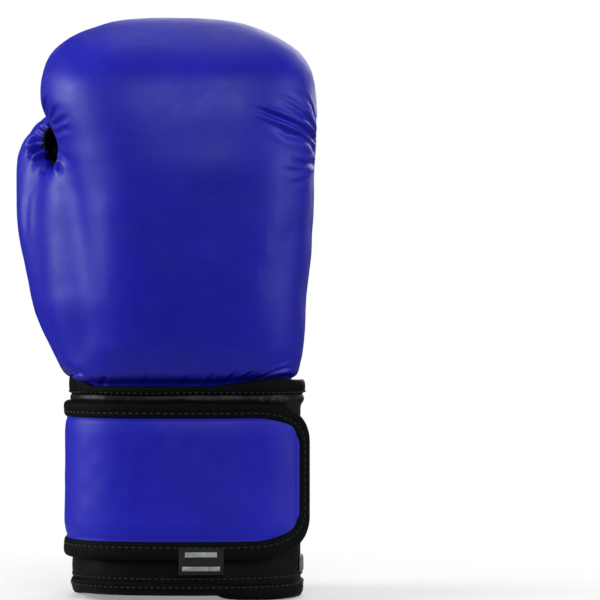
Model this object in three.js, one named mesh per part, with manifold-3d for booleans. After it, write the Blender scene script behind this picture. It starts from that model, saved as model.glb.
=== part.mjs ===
// A right-hand training boxing glove standing on its cuff.
// Millimetres. +Z up from the cuff mouth to the knuckles, -Y is the back of the hand, +Y is the palm,
// -X is the thumb side and +X is the little-finger side.
import * as THREE from "three";
import { mergeVertices } from "three/addons/utils/BufferGeometryUtils.js";
import Module from "manifold-3d";

const wasm = await Module();
wasm.setup();

// ---- driving dimensions (mm) ------------------------------------------------------------------
const SHIFT = [9.1, -0.15, 0]; // puts the glove's bounding box over the origin
const TOP_Z = 288.75; // knuckle end
const NECK_Z = 104.0; // where the cuff meets the hand section
const HAND_Z = 106.2; // lower edge of the hand section
const CAP_Z = 215.0; // the rounded knuckle end starts here
const FIST_CX = -4.0; // split line of the fist's cross-section
const FIST_CY = 4.0;
const SKIN = 1.9; // cover thickness
const GAP = 0.35; // between neighbouring pieces
const CUFF = { cx: 1.75, cy: 0, a: 56.5, b: 40, n: 2.6 }; // outside of the cuff cover
const CUFF_FOAM = 7.0;
const SLIT = { x: 4.0, half: 7.5, halfTop: 9.0, top: 180 }; // palm-side wrist opening
const STRAP_Z = [20.5, 97.0];
const STRAP_PANEL_Z = [29.7, 90.3];
const PHI = { anchor: 60, rootHinge: 76, midHinge: 141, peelHinge: 221, tip: 345 }; // strap stations round the cuff, degrees
const HINGE_GAP = 3.2; // open length of strap at each bending line
const STRAP = { back0: 2.2, back1: 3.3, face0: 3.6, face1: 4.6 }; // distances off the cuff
const THUMB_FLAT = 0.72; // the thumb is wider in Y than in X

// ---- helpers ----------------------------------------------------------------------------------
// Smooth interpolation of [key, value] rows.
function lut(rows, z) {
  const n = rows.length;
  if (z <= rows[0][0]) return rows[0][1];
  if (z >= rows[n - 1][0]) return rows[n - 1][1];
  let i = 0;
  while (rows[i + 1][0] < z) i++;
  const slope = (k) => {
    if (k === 0) return (rows[1][1] - rows[0][1]) / (rows[1][0] - rows[0][0]);
    if (k === n - 1) return (rows[n - 1][1] - rows[n - 2][1]) / (rows[n - 1][0] - rows[n - 2][0]);
    const d0 = (rows[k][1] - rows[k - 1][1]) / (rows[k][0] - rows[k - 1][0]);
    const d1 = (rows[k + 1][1] - rows[k][1]) / (rows[k + 1][0] - rows[k][0]);
    return d0 * d1 <= 0 ? 0 : (2 * d0 * d1) / (d0 + d1);
  };
  const h = rows[i + 1][0] - rows[i][0], t = (z - rows[i][0]) / h;
  const m0 = slope(i) * h, m1 = slope(i + 1) * h, a = rows[i][1], b = rows[i + 1][1];
  return (2 * t ** 3 - 3 * t * t + 1) * a + (t ** 3 - 2 * t * t + t) * m0 + (-2 * t ** 3 + 3 * t * t) * b + (t ** 3 - t * t) * m1;
}
const smooth = (a, b, v) => {
  const t = Math.min(1, Math.max(0, (v - a) / (b - a)));
  return t * t * (3 - 2 * t);
};
function solid(geometry) {
  let g = geometry.clone();
  g.deleteAttribute("normal");
  g.deleteAttribute("uv");
  g = mergeVertices(g, 1e-4);
  const made = new wasm.Manifold(
    new wasm.Mesh({ numProp: 3, vertProperties: new Float32Array(g.attributes.position.array), triVerts: new Uint32Array(g.index.array) }),
  );
  if (made.volume() > 0) return made;
  const tri = new Uint32Array(g.index.array);
  for (let i = 0; i < tri.length; i += 3) [tri[i + 1], tri[i + 2]] = [tri[i + 2], tri[i + 1]];
  return new wasm.Manifold(new wasm.Mesh({ numProp: 3, vertProperties: new Float32Array(g.attributes.position.array), triVerts: tri }));
}
function geometryOf(made) {
  const m = made.getMesh(), g = new THREE.BufferGeometry(), v = new Float32Array(m.numVert * 3);
  for (let i = 0; i < m.numVert; i++) v.set(m.vertProperties.subarray(i * m.numProp, i * m.numProp + 3), i * 3);
  g.setAttribute("position", new THREE.BufferAttribute(v, 3));
  g.setIndex(new THREE.BufferAttribute(new Uint32Array(m.triVerts), 1));
  g.computeVertexNormals();
  return g;
}
const largest = (made) => made.decompose().sort((p, q) => q.volume() - p.volume())[0];
function box(x0, x1, y0, y1, z0, z1) {
  const g = new THREE.BoxGeometry(x1 - x0, y1 - y0, z1 - z0);
  g.translate((x0 + x1) / 2, (y0 + y1) / 2, (z0 + z1) / 2);
  return solid(g);
}
// An outline drawn in X and Z, run along Y from y0 to y1.
function through(points, y0, y1) {
  const s = new THREE.Shape(points.map(([x, z]) => new THREE.Vector2(x, -z)));
  const g = new THREE.ExtrudeGeometry(s, { depth: y1 - y0, bevelEnabled: false, steps: 1 });
  g.rotateX(-Math.PI / 2);
  g.translate(0, y0, 0);
  return solid(g);
}
// A sphere whose rows and columns are moved to rings given by ring(row, angle).
function sculpt(columns, rows, at, offset = 0) {
  const g = new THREE.SphereGeometry(1, columns, rows);
  const p = g.attributes.position;
  for (let i = 0; i <= rows; i++)
    for (let j = 0; j <= columns; j++) {
      const q = at(rows - i, ((j % columns) / columns) * Math.PI * 2);
      p.setXYZ(i * (columns + 1) + j, q.x, q.y, q.z);
    }
  let m = g.clone();
  m.deleteAttribute("normal");
  m.deleteAttribute("uv");
  m = mergeVertices(m, 1e-4);
  m.computeVertexNormals();
  const out = m.attributes.position, nn = m.attributes.normal;
  // find which way the normals face from the enclosed volume
  let volume = 0;
  const a = new THREE.Vector3(), b = new THREE.Vector3(), c = new THREE.Vector3();
  for (let i = 0; i < m.index.count; i += 3) {
    a.fromBufferAttribute(out, m.index.array[i]);
    b.fromBufferAttribute(out, m.index.array[i + 1]);
    c.fromBufferAttribute(out, m.index.array[i + 2]);
    volume += a.dot(b.cross(c)) / 6;
  }
  const sign = volume > 0 ? 1 : -1;
  if (offset)
    for (let i = 0; i < out.count; i++)
      out.setXYZ(i, out.getX(i) - sign * nn.getX(i) * offset, out.getY(i) - sign * nn.getY(i) * offset, out.getZ(i) - sign * nn.getZ(i) * offset);
  m.deleteAttribute("normal");
  return solid(m);
}

// ---- the fist ---------------------------------------------------------------------------------
// Half-extents about (FIST_CX, FIST_CY) before the knuckle end rounds them off.
const LEFT_BACK = [[92, 52.5], [104, 52.5], [112, 53], [125, 52.5], [145, 51.5], [170, 51], [195, 52.5], [210, 55], [218, 57.5], [225, 59], [232, 62], [238, 65], [244, 68], [252, 70], [262, 72], [275, 75], [288.75, 78]];
const LEFT_PALM = [[92, 52], [104, 52], [112, 50], [125, 46], [145, 43], [170, 42], [195, 42], [210, 42], [222, 43], [230, 46], [236, 51], [243, 59], [250, 66], [258, 71], [268, 74], [288.75, 78]];
const RIGHT = [[92, 60], [104, 59.5], [112, 61], [120, 63.5], [132, 65.2], [150, 66.5], [172, 68.5], [196, 69.5], [220, 70.4], [236, 71.4], [250, 72.5], [262, 73.5], [270, 73.5], [278, 72], [288.75, 68]];
const BACK = [[92, 43], [104, 43.5], [112, 48], [125, 54], [145, 59], [170, 63], [195, 66], [215, 67.5], [232, 67.5], [250, 66], [265, 61], [275, 56], [283, 50], [288.75, 45]];
const PALM = [[92, 35], [104, 35.5], [125, 35], [150, 34], [180, 33.5], [200, 33.5], [206, 34.5], [212, 38], [217, 45], [222, 52], [228, 57], [236, 60], [250, 60.5], [265, 57], [275, 53], [283, 48], [288.75, 44]];
const FIST_N = 2.8, CAP_M = 3.4;
const curlEdge = (x) => 18 * Math.abs((x - 10) / 50) ** 2.4; // the curled fingers end higher at the sides
function fistHalf(x, y, z) {
  const zp = z - curlEdge(Math.max(-50, Math.min(60, x))) * (1 - smooth(236, 262, z)) * smooth(190, 206, z);
  return {
    left: lut(LEFT_BACK, z) + (lut(LEFT_PALM, z) - lut(LEFT_BACK, z)) * smooth(-6, 24, y),
    right: lut(RIGHT, z),
    back: lut(BACK, z),
    palm: lut(PALM, zp),
  };
}
const capFactor = (z) => (1 - Math.max(0, (z - CAP_Z) / (TOP_Z - CAP_Z)) ** CAP_M) ** (1 / FIST_N);
const FIST_ROWS = [92, 92, 110, 132, 158, 184, 203, 212, 219, 226, 236, 250, 262, 272, 280, 285.5, 288.2, 288.75];
function fistPoint(row, angle) {
  if (row === 0) return new THREE.Vector3(FIST_CX, FIST_CY, FIST_ROWS[0]);
  const z = FIST_ROWS[row];
  if (row === FIST_ROWS.length - 1) return new THREE.Vector3(FIST_CX, FIST_CY, z);
  const c = Math.cos(angle), s = Math.sin(angle), k = capFactor(z);
  const sx = Math.sign(c) * Math.abs(c) ** (2 / FIST_N), sy = Math.sign(s) * Math.abs(s) ** (2 / FIST_N);
  let x = FIST_CX, y = FIST_CY;
  for (let i = 0; i < 12; i++) {
    const h = fistHalf(x, y, z);
    x = FIST_CX + sx * k * (c < 0 ? h.left : h.right);
    y = FIST_CY + sy * k * (s < 0 ? h.back : h.palm);
  }
  return new THREE.Vector3(x, y, z);
}
const fist = (t) => sculpt(30, FIST_ROWS.length - 1, fistPoint, t);

// ---- the thumb --------------------------------------------------------------------------------
const THUMB_PATH = [[-40, 8, 98, 16], [-48.5, 8, 122, 17], [-59, 9, 146, 17], [-65.5, 10, 170, 16.5], [-68.8, 12, 190, 16.2], [-69, 17, 207, 16], [-67.5, 24, 220.5, 16], [-59, 33, 233, 13]];
const thumbCurve = new THREE.CatmullRomCurve3(THUMB_PATH.map((p) => new THREE.Vector3(p[0], p[1], p[2])), false, "catmullrom", 0.5);
function thumbRadius(s) {
  const f = s * (THUMB_PATH.length - 1), i = Math.min(THUMB_PATH.length - 2, Math.floor(f));
  return THREE.MathUtils.lerp(THUMB_PATH[i][3], THUMB_PATH[i + 1][3], f - i);
}
function sweepPoint(curve, radius, rows, flat) {
  return (row, angle) => {
    // rounded ends: the first and last few rows shrink on a hemisphere
    const ends = 3, body = rows - 2 * ends;
    let s, k = 1, along = 0;
    if (row <= ends) { const a = (1 - row / ends) * Math.PI / 2; s = 0; k = Math.cos(a); along = -Math.sin(a); }
    else if (row >= rows - ends) { const a = ((row - (rows - ends)) / ends) * Math.PI / 2; s = 1; k = Math.cos(a); along = Math.sin(a); }
    else s = (row - ends) / body;
    const c = curve.getPoint(s), t = curve.getTangent(s).normalize();
    const u = new THREE.Vector3(1, 0, 0).addScaledVector(t, -t.x).normalize();
    const v = new THREE.Vector3().crossVectors(t, u);
    const r = radius(s);
    return c.clone().addScaledVector(t, along * r).addScaledVector(u, Math.cos(angle) * k * r).addScaledVector(v, (Math.sin(angle) * k * r) / flat);
  };
}
const thumb = (t) => sculpt(14, 14, sweepPoint(thumbCurve, thumbRadius, 14, THUMB_FLAT), t);
// fills the back-of-hand valley between the thumb and the fist
const webCurve = new THREE.CatmullRomCurve3([new THREE.Vector3(-42, -8, 112), new THREE.Vector3(-52, -11, 150), new THREE.Vector3(-55, -12, 185), new THREE.Vector3(-57, -5, 212)]);
const web = (t) => sculpt(12, 10, sweepPoint(webCurve, (s) => 21 - 5 * s, 10, 0.95), t);

const aboveHand = box(-200, 200, -200, 200, HAND_Z, 400);
const shape = (t) => fist(t).add(thumb(t)).add(web(t)).intersect(aboveHand);

// ---- the hand compartment and its lining -------------------------------------------------------
const HAND_ROWS = [98, 98, 130, 190, 212, 226, 235, 239];
const HAND_HALF = [[98, 45], [130, 43], [160, 43.5], [190, 45], [210, 44], [224, 38], [232, 28], [237, 16], [239, 0]];
const HAND_BACK = [[98, 29.5], [130, 26], [190, 25], [210, 24], [224, 20], [232, 14], [237, 8], [239, 0]];
const HAND_PALM = [[98, 29.5], [130, 26], [190, 25], [210, 25], [224, 22], [232, 16], [237, 9], [239, 0]];
function handPoint(row, angle) {
  const z = HAND_ROWS[row], cx = 1, cy = 1;
  if (row === 0 || row === HAND_ROWS.length - 1) return new THREE.Vector3(cx, cy, z);
  const c = Math.cos(angle), s = Math.sin(angle);
  return new THREE.Vector3(cx + Math.sign(c) * Math.abs(c) ** (2 / 2.6) * lut(HAND_HALF, z), cy + Math.sign(s) * Math.abs(s) ** (2 / 2.6) * lut(s < 0 ? HAND_BACK : HAND_PALM, z), z);
}
const channelCurve = new THREE.CatmullRomCurve3([new THREE.Vector3(-28, -3, 126), new THREE.Vector3(-50, -6, 150), new THREE.Vector3(-63.5, 1, 178), new THREE.Vector3(-67.5, 13, 206)]);
const hollow = (grow) => sculpt(20, HAND_ROWS.length - 1, handPoint, -grow).add(sculpt(10, 10, sweepPoint(channelCurve, () => 8.8, 10, 0.85), -grow)).intersect(box(-200, 200, -200, 200, HAND_Z, 400));

// ---- the wrist slit ----------------------------------------------------------------------------
function slotOutline(grow, bottom) {
  const w = SLIT.half + grow, wt = SLIT.halfTop + grow, pts = [[SLIT.x - w, bottom], [SLIT.x + w, bottom], [SLIT.x + w, 120], [SLIT.x + wt, 150]];
  const cz = SLIT.top - SLIT.halfTop;
  for (let i = 0; i <= 12; i++) {
    const a = (i / 12) * Math.PI;
    pts.push([SLIT.x + wt * Math.cos(a), cz + wt * Math.sin(a)]);
  }
  pts.push([SLIT.x - wt, 150], [SLIT.x - w, 120]);
  return pts;
}

// ---- pieces of the hand section ----------------------------------------------------------------
// Palm-side outline of everything that is black: palm, finger panel and the inside of the thumb.
const CURL = [];
for (let x = 58; x >= -34; x -= 6.5) CURL.push([x, 214.5 + curlEdge(x)]);
const THUMB_EDGE = [[-43, 238], [-50, 245], [-56, 243], [-60.5, 232], [-62, 215], [-63, 195], [-61.5, 172], [-57, 148], [-51, 126], [-46, 100]];
const grow = (pts, d) => {
  const c = [0, 160];
  return pts.map(([x, z]) => { const l = Math.hypot(x - c[0], z - c[1]); return [x + ((x - c[0]) / l) * d, z + ((z - c[1]) / l) * d]; });
};
const palmOutline = (d) => [[85, 100], [85, 236], ...grow([[66, 236], ...CURL, ...THUMB_EDGE], d), [-40, 90], [85, 90]];
const PALM_Y = 3.0;
const SEAM = []; // palm panel's upper seam
for (let x = 66; x >= -46; x -= 7) SEAM.push([x, 207 - 9 * Math.abs((x - 6) / 60) ** 2]);
const belowSeam = (d) => [[90, 90], [90, SEAM[0][1] + d], ...SEAM.map(([x, z]) => [x, z + d]), [-49, 190], [-49, 90]];

const H0 = fist(0), Hs = fist(SKIN), T0 = thumb(0), Ts = thumb(SKIN);
const clearLining = hollow(1.0 + GAP);
const inP = through(palmOutline(-GAP), PALM_Y + GAP, 90);
const outP = through(palmOutline(0), PALM_Y, 90);
const cover = largest(shape(0).subtract(shape(SKIN)).subtract(outP));

const fistShell = H0.subtract(Hs).intersect(aboveHand);
const slot = through(slotOutline(3.2, 60), 10, 90);
const palmPanel = largest(fistShell.intersect(inP).intersect(through(belowSeam(0), -5, 90)).subtract(slot).subtract(thumb(-GAP)).subtract(web(-GAP)).subtract(clearLining));
const fingerPanel = largest(fistShell.intersect(inP).subtract(through(belowSeam(GAP), -5, 90)).subtract(thumb(-GAP)).subtract(web(-GAP)).subtract(clearLining));
const thumbPanel = largest(T0.subtract(Ts).intersect(inP).intersect(aboveHand).subtract(fist(-GAP)).subtract(web(-GAP)).subtract(clearLining));

const lining = hollow(1.0), room = hollow(0);
const handLining = largest(lining.subtract(room).subtract(through(slotOutline(0.4, 60), 0, 90)));
const PAD = SKIN + GAP + 0.15;
const core = fist(PAD).intersect(Hs).add(web(PAD).intersect(web(SKIN))).intersect(box(-200, 200, -200, 200, HAND_Z + 0.3, 400));
const palmSide = through([[90, 90], [90, 203], [66, 203], [-30, 203], [-38, 190], [-38, 90]], 14, 90);
const palmSideIn = through([[90 - GAP, 90], [90 - GAP, 203 - GAP], [66, 203 - GAP], [-30, 203 - GAP], [-38 + GAP, 190], [-38 + GAP, 90]], 14 + GAP, 90);
const slotPad = through(slotOutline(3.2, 60), 0, 90);
const fistPadding = largest(core.subtract(clearLining).subtract(palmSide).subtract(slotPad));
const palmPadding = largest(core.subtract(clearLining).intersect(palmSideIn).subtract(slotPad));
const thumbPadding = largest(thumb(PAD).intersect(Ts).intersect(box(-200, 200, -200, 200, HAND_Z + 0.3, 400)).subtract(fist(PAD - GAP)).subtract(web(PAD - GAP)).subtract(clearLining));

// binding sewn round the palm end of the slit: a channel that takes in panel, padding and lining
const slitBinding = largest(
  through(slotOutline(2.85, HAND_Z + 0.4), 10, 90).subtract(through(slotOutline(0.3, 60), 9, 91)).intersect(fist(-0.9)).subtract(hollow(1.4)),
);
// reinforcement patch round the slit
const patchOutline = (g) => {
  const pts = [[SLIT.x - 19 - g, HAND_Z + 4], [SLIT.x + 21 + g, HAND_Z + 4], [SLIT.x + 22 + g, 172]];
  for (let i = 0; i <= 10; i++) { const a = (i / 10) * Math.PI; pts.push([SLIT.x + 1 + (21 + g) * Math.cos(a), 174 + (21 + g) * Math.sin(a)]); }
  return pts;
};
const palmPatch = largest(through(patchOutline(0), 12, 90).subtract(through(slotOutline(3.3, 60), 9, 91)).intersect(fist(-1.2).subtract(fist(-0.35))));
// coloured band along the thumb side of the palm
const BAND = [], BAND_IN = [];
for (let i = 0; i <= 10; i++) {
  const z = 158 + (i / 10) * 48, u = (i / 10) * 2 - 1;
  BAND.push([-23.5 - 7 * u * u, z]);
  BAND_IN.push([-33.0 - 4.5 * u * u, z]);
}
const webBand = largest(through([...BAND, ...BAND_IN.reverse()], 12, 90).intersect(fist(-1.3).subtract(fist(-0.35))).subtract(thumb(-GAP - 0.2)));
// tie between the thumb tip and the fist
const tieBox = new THREE.BoxGeometry(11, 7, 15);
tieBox.rotateX(-0.5);
tieBox.rotateZ(0.35);
tieBox.translate(-60.5, 41.5, 247);
const tie = largest(solid(tieBox).subtract(fist(-GAP)).subtract(thumb(-GAP)));

// ---- the cuff ----------------------------------------------------------------------------------
function cuffPoint(phi, off) {
  const c = Math.cos(phi), s = Math.sin(phi), e = 2 / CUFF.n;
  const at = (p) => new THREE.Vector2(CUFF.cx + CUFF.a * Math.sign(Math.cos(p)) * Math.abs(Math.cos(p)) ** e, CUFF.cy + CUFF.b * Math.sign(Math.sin(p)) * Math.abs(Math.sin(p)) ** e);
  const p = new THREE.Vector2(CUFF.cx + CUFF.a * Math.sign(c) * Math.abs(c) ** e, CUFF.cy + CUFF.b * Math.sign(s) * Math.abs(s) ** e);
  const q = at(phi + 1e-3), r = at(phi - 1e-3);
  const t = q.sub(r).normalize();
  return new THREE.Vector2(p.x + t.y * off, p.y - t.x * off);
}
const rad = THREE.MathUtils.degToRad;
// even steps along the cuff's curve, so corners get their share
const LAP = [];
{
  let length = 0, last = cuffPoint(0, 0);
  for (let d = 0; d <= 3600; d++) {
    const p = cuffPoint(rad(d / 10), 0);
    length += p.distanceTo(last);
    last = p;
    LAP.push([d / 10, length]);
  }
}
const lapOf = (deg) => { const turn = Math.floor(deg / 360); const d = (deg - turn * 360) * 10, i = Math.floor(d); return turn * LAP[3600][1] + LAP[i][1] + (i < 3600 ? (LAP[i + 1][1] - LAP[i][1]) * (d - i) : 0); };
function degOf(length) {
  const full = LAP[3600][1], turn = Math.floor(length / full);
  let l = length - turn * full, i = 0;
  while (i < 3599 && LAP[i + 1][1] < l) i++;
  return turn * 360 + LAP[i][0] + 0.1 * Math.min(1, (l - LAP[i][1]) / Math.max(1e-9, LAP[i + 1][1] - LAP[i][1]));
}
// A band of the cuff's curve between two lengths and two distances off it, from z0 to z1.
function band(l0, l1, off0, off1, z0, z1, step = LAP[3600][1] / 34) {
  // every band turns at the same stations, so neighbouring layers stay parallel
  const at = [l0], pts = [];
  for (let k = Math.ceil((l0 + 0.6) / step); k * step < l1 - 0.6; k++) at.push(k * step);
  at.push(l1);
  for (const l of at) pts.push(cuffPoint(rad(degOf(l)), off1));
  for (const l of at.reverse()) pts.push(cuffPoint(rad(degOf(l)), off0));
  const g = new THREE.ExtrudeGeometry(new THREE.Shape(pts), { depth: z1 - z0, bevelEnabled: false, steps: 1 });
  g.translate(0, 0, z0);
  return solid(g);
}
const slitDeg = (x) => THREE.MathUtils.radToDeg(Math.acos(((x - CUFF.cx) / CUFF.a) ** 0 * Math.sign(x - CUFF.cx) * Math.abs((x - CUFF.cx) / CUFF.a) ** (CUFF.n / 2)));
const L0 = lapOf(slitDeg(SLIT.x - SLIT.half - 2.6)), L1 = lapOf(360 + slitDeg(SLIT.x + SLIT.half + 2.6));
const LAYER = 1.6;
const cuffCover = band(L0, L1, -LAYER, 0, 1.9, NECK_Z - GAP);
const cuffPadding = band(L0, L1, -LAYER - GAP - CUFF_FOAM, -LAYER - GAP, 1.9, NECK_Z - GAP);
const IN = -LAYER - 2 * GAP - CUFF_FOAM;
const cuffLining = band(L0, L1, IN - 1.0, IN, 1.9, NECK_Z - GAP);
const hem = largest(band(L0 + 0.2, L1 - 0.2, IN - 2.3, 1.2, 0, 7.5).subtract(band(L0 - 2, L1 + 2, IN - 1.0 - GAP, GAP, 1.5, 9)));
const welt = band(L0 + 0.2, L1 - 0.2, IN - 1.0, 0.9, NECK_Z + 0.15, NECK_Z + 1.75);
// channels sewn over the two edges of the slit
const sSlit = lapOf(slitDeg(SLIT.x));
const edgeOf = (l0, l1, inner0, inner1) => largest(band(l0, l1, IN - 2.0, 1.0, 8.0, NECK_Z - GAP).subtract(band(inner0, inner1, IN - 1.0 - GAP, GAP, 7, NECK_Z + 5)));
const thumbSideEdge = edgeOf(L0 - 1.6, L0 + 5.5, L0 - 0.35, L0 + 8);
const littleSideEdge = edgeOf(L1 - 5.5, L1 + 1.6, L1 - 8, L1 + 0.35);
// stretch gusset behind the slit
const gusset = box(SLIT.x - 19, SLIT.x + 19, 24.6, 25.8, 10, 98);

// ---- the wrist strap ---------------------------------------------------------------------------
const S = Object.fromEntries(Object.entries(PHI).map(([k, d]) => [k, lapOf(d)]));
const hinge = (s) => { const p = cuffPoint(rad(degOf(s)), (STRAP.back0 + STRAP.face1) / 2); return [p.x, p.y]; };
const h2 = HINGE_GAP / 2;
const backing = (a, b) => band(a, b, STRAP.back0, STRAP.back1, STRAP_PANEL_Z[0] + GAP, STRAP_PANEL_Z[1] - GAP);
const face = (a, b) => band(a, b, STRAP.face0, STRAP.face1, STRAP_PANEL_Z[0] + GAP, STRAP_PANEL_Z[1] - GAP);
const rim = (a, b, z0, z1) => band(a, b, STRAP.back0 - 0.1, STRAP.face1 + 0.1, z0, z1);
const rounded = (x0, x1, z0, z1, r, y0, y1) => {
  const pts = [[x0, z0]];
  for (let i = 0; i <= 6; i++) { const a = -Math.PI / 2 + (i / 6) * (Math.PI / 2); pts.push([x1 - r + r * Math.cos(a), z0 + r + r * Math.sin(a)]); }
  for (let i = 0; i <= 6; i++) { const a = (i / 6) * (Math.PI / 2); pts.push([x1 - r + r * Math.cos(a), z1 - r + r * Math.sin(a)]); }
  pts.push([x0, z1]);
  return through(pts, y0, y1);
};
const TIP_X = cuffPoint(rad(PHI.tip), 3).x;
const tipOuter = rounded(-100, TIP_X, STRAP_Z[0], STRAP_Z[1], 15, -80, 20);
const tipInner = rounded(-100, TIP_X - 4.5, STRAP_PANEL_Z[0], STRAP_PANEL_Z[1], 11, -80, 20);
const tipInnerIn = rounded(-100, TIP_X - 4.5 - GAP, STRAP_PANEL_Z[0] + GAP, STRAP_PANEL_Z[1] - GAP, 11, -80, 20);
const flapFrom = S.peelHinge + h2, flapTo = S.tip + 6;
const flapFace = largest(face(flapFrom, flapTo).intersect(tipInnerIn));
const flapBack = largest(backing(flapFrom, flapTo).intersect(tipInnerIn));
const flapRim = largest(band(flapFrom, flapTo, STRAP.back0 - 0.1, STRAP.face1 + 0.1, STRAP_Z[0], STRAP_Z[1]).intersect(tipOuter).subtract(band(flapFrom - 5, flapTo + 5, 1.5, 6, STRAP_PANEL_Z[0], STRAP_PANEL_Z[1]).intersect(tipInner)));
const hookPatch = band(S.tip - 64, S.tip - 18, 1.25, STRAP.back0 - GAP, 36, 84);
const loopPatch = band(S.tip - 84, S.tip + 4, 0.3, 0.95, 30, 90);
const LABEL_S = lapOf(270) - 2.5;
const label = band(LABEL_S, LABEL_S + 21, 5.1, 5.7, 13.5, 27);
const sizeLabel = band(lapOf(338), lapOf(366), 0.3, 0.9, 9.5, 19.6);

// ---- the assembly ------------------------------------------------------------------------------
const BLUE = 0x1e1e9e, BLACK = 0x0c0f0e;
const paint = (color, roughness, metalness = 0) => new THREE.MeshStandardMaterial({ color, roughness, metalness });
const blueLeather = paint(BLUE, 0.42), blackLeather = paint(BLACK, 0.45), tape = paint(0x121513, 0.75);
const foam = paint(0xd8d4c8, 0.9), fabric = paint(0x15171a, 0.9), pile = paint(0x0b0b0c, 1.0), woven = paint(0x9a9ea2, 0.6);

const glove = new THREE.Group(), hand = new THREE.Group(), cuff = new THREE.Group(), strap = new THREE.Group();
const put = (group, name, made, material) => {
  const mesh = new THREE.Mesh(made.isBufferGeometry ? made : geometryOf(made), material);
  mesh.name = name;
  group.add(mesh);
};
put(hand, "outer_cover", cover, blueLeather);
put(hand, "fist_padding", fistPadding, foam);
put(hand, "thumb_padding", thumbPadding, foam);
put(hand, "palm_padding", palmPadding, foam);
put(hand, "palm_panel", palmPanel, blackLeather);
put(hand, "finger_panel", fingerPanel, blackLeather);
put(hand, "thumb_inner_panel", thumbPanel, blackLeather);
put(hand, "hand_lining", handLining, fabric);
put(hand, "slit_binding", slitBinding, tape);
put(hand, "palm_patch", palmPatch, blackLeather);
put(hand, "web_band", webBand, blueLeather);
put(hand, "thumb_tie", tie, blackLeather);
put(cuff, "cuff_cover", cuffCover, blackLeather);
put(cuff, "cuff_padding", cuffPadding, foam);
put(cuff, "cuff_lining", cuffLining, fabric);
put(cuff, "cuff_hem", hem, tape);
put(cuff, "neck_welt", welt, tape);
put(cuff, "slit_edge_thumb_side", thumbSideEdge, tape);
put(cuff, "slit_edge_little_side", littleSideEdge, tape);
put(cuff, "slit_gusset", gusset, fabric);
put(cuff, "loop_patch", loopPatch, pile);
put(cuff, "size_label", sizeLabel, woven);
put(cuff, "strap_anchor", rim(S.anchor, S.rootHinge - h2, STRAP_Z[0], STRAP_Z[1]), blackLeather);
for (const [name, a, b] of [["strap_root", S.rootHinge + h2, S.midHinge - h2], ["strap_side", S.midHinge + h2, S.peelHinge - h2]]) {
  put(strap, name + "_face", face(a, b), blueLeather);
  put(strap, name + "_backing", backing(a, b), fabric);
  put(strap, name + "_rim_top", rim(a, b, STRAP_PANEL_Z[1], STRAP_Z[1]), tape);
  put(strap, name + "_rim_bottom", rim(a, b, STRAP_Z[0], STRAP_PANEL_Z[0]), tape);
}
put(strap, "strap_flap_face", flapFace, blueLeather);
put(strap, "strap_flap_backing", flapBack, fabric);
put(strap, "strap_flap_rim", flapRim, tape);
put(strap, "hook_patch", hookPatch, pile);
put(strap, "label_tab", label, woven);
glove.add(hand, cuff, strap);
glove.position.set(...SHIFT);
export default glove;
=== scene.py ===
import math

import bpy
import numpy as np
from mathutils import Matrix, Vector
from mathutils.bvhtree import BVHTree


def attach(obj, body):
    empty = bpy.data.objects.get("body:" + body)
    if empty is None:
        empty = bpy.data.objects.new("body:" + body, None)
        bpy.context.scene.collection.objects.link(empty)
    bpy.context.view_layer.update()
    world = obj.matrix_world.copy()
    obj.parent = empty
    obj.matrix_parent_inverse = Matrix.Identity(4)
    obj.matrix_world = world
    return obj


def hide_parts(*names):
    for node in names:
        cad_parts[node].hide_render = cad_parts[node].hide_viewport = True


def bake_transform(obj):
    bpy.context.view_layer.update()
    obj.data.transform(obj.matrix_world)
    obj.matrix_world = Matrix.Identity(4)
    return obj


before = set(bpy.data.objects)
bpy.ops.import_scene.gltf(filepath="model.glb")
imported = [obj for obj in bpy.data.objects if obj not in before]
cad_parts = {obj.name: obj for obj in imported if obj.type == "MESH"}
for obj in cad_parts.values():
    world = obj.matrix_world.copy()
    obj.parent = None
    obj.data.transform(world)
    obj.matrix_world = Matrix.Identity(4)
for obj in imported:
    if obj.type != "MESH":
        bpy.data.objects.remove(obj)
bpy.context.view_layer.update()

RNG = np.random.default_rng(7)

# ------------------------------------------------------------------------------------------------
# The glove's own sketch frame is in millimetres; SHIFT moves it over the row's origin.
SHIFT = np.array([9.1, -0.15, 0.0])
TOP_Z, CAP_Z, FIST_CX, FIST_CY, FIST_N, CAP_M = 288.75, 215.0, -4.0, 4.0, 2.8, 3.4
CUFF = dict(cx=1.75, cy=0.0, a=56.5, b=40.0, n=2.6)
NECK = 104.6
CELL = 1.35


def metres(p):
    return (np.asarray(p, float) + SHIFT) / 1000.0


def lut(rows, z):
    r = np.asarray(rows, float)
    k, v = r[:, 0], r[:, 1]
    h, d = np.diff(k), np.diff(v) / np.diff(k)
    m = np.empty(len(k))
    m[0], m[-1] = d[0], d[-1]
    both = d[:-1] * d[1:] > 0
    m[1:-1] = np.where(both, 2 * d[:-1] * d[1:] / np.where(both, d[:-1] + d[1:], 1), 0)
    z = np.clip(np.asarray(z, float), k[0], k[-1])
    i = np.clip(np.searchsorted(k, z, side="right") - 1, 0, len(k) - 2)
    t = (z - k[i]) / h[i]
    return (2 * t**3 - 3 * t * t + 1) * v[i] + (t**3 - 2 * t * t + t) * h[i] * m[i] + (-2 * t**3 + 3 * t * t) * v[i + 1] + (t**3 - t * t) * h[i] * m[i + 1]


def table(rows, lo=60, hi=320, n=1040):
    z = np.linspace(lo, hi, n)
    v = lut(rows, z)
    return lambda q: np.interp(q, z, v)


def smooth(a, b, v):
    t = np.clip((v - a) / (b - a), 0, 1)
    return t * t * (3 - 2 * t)


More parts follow.
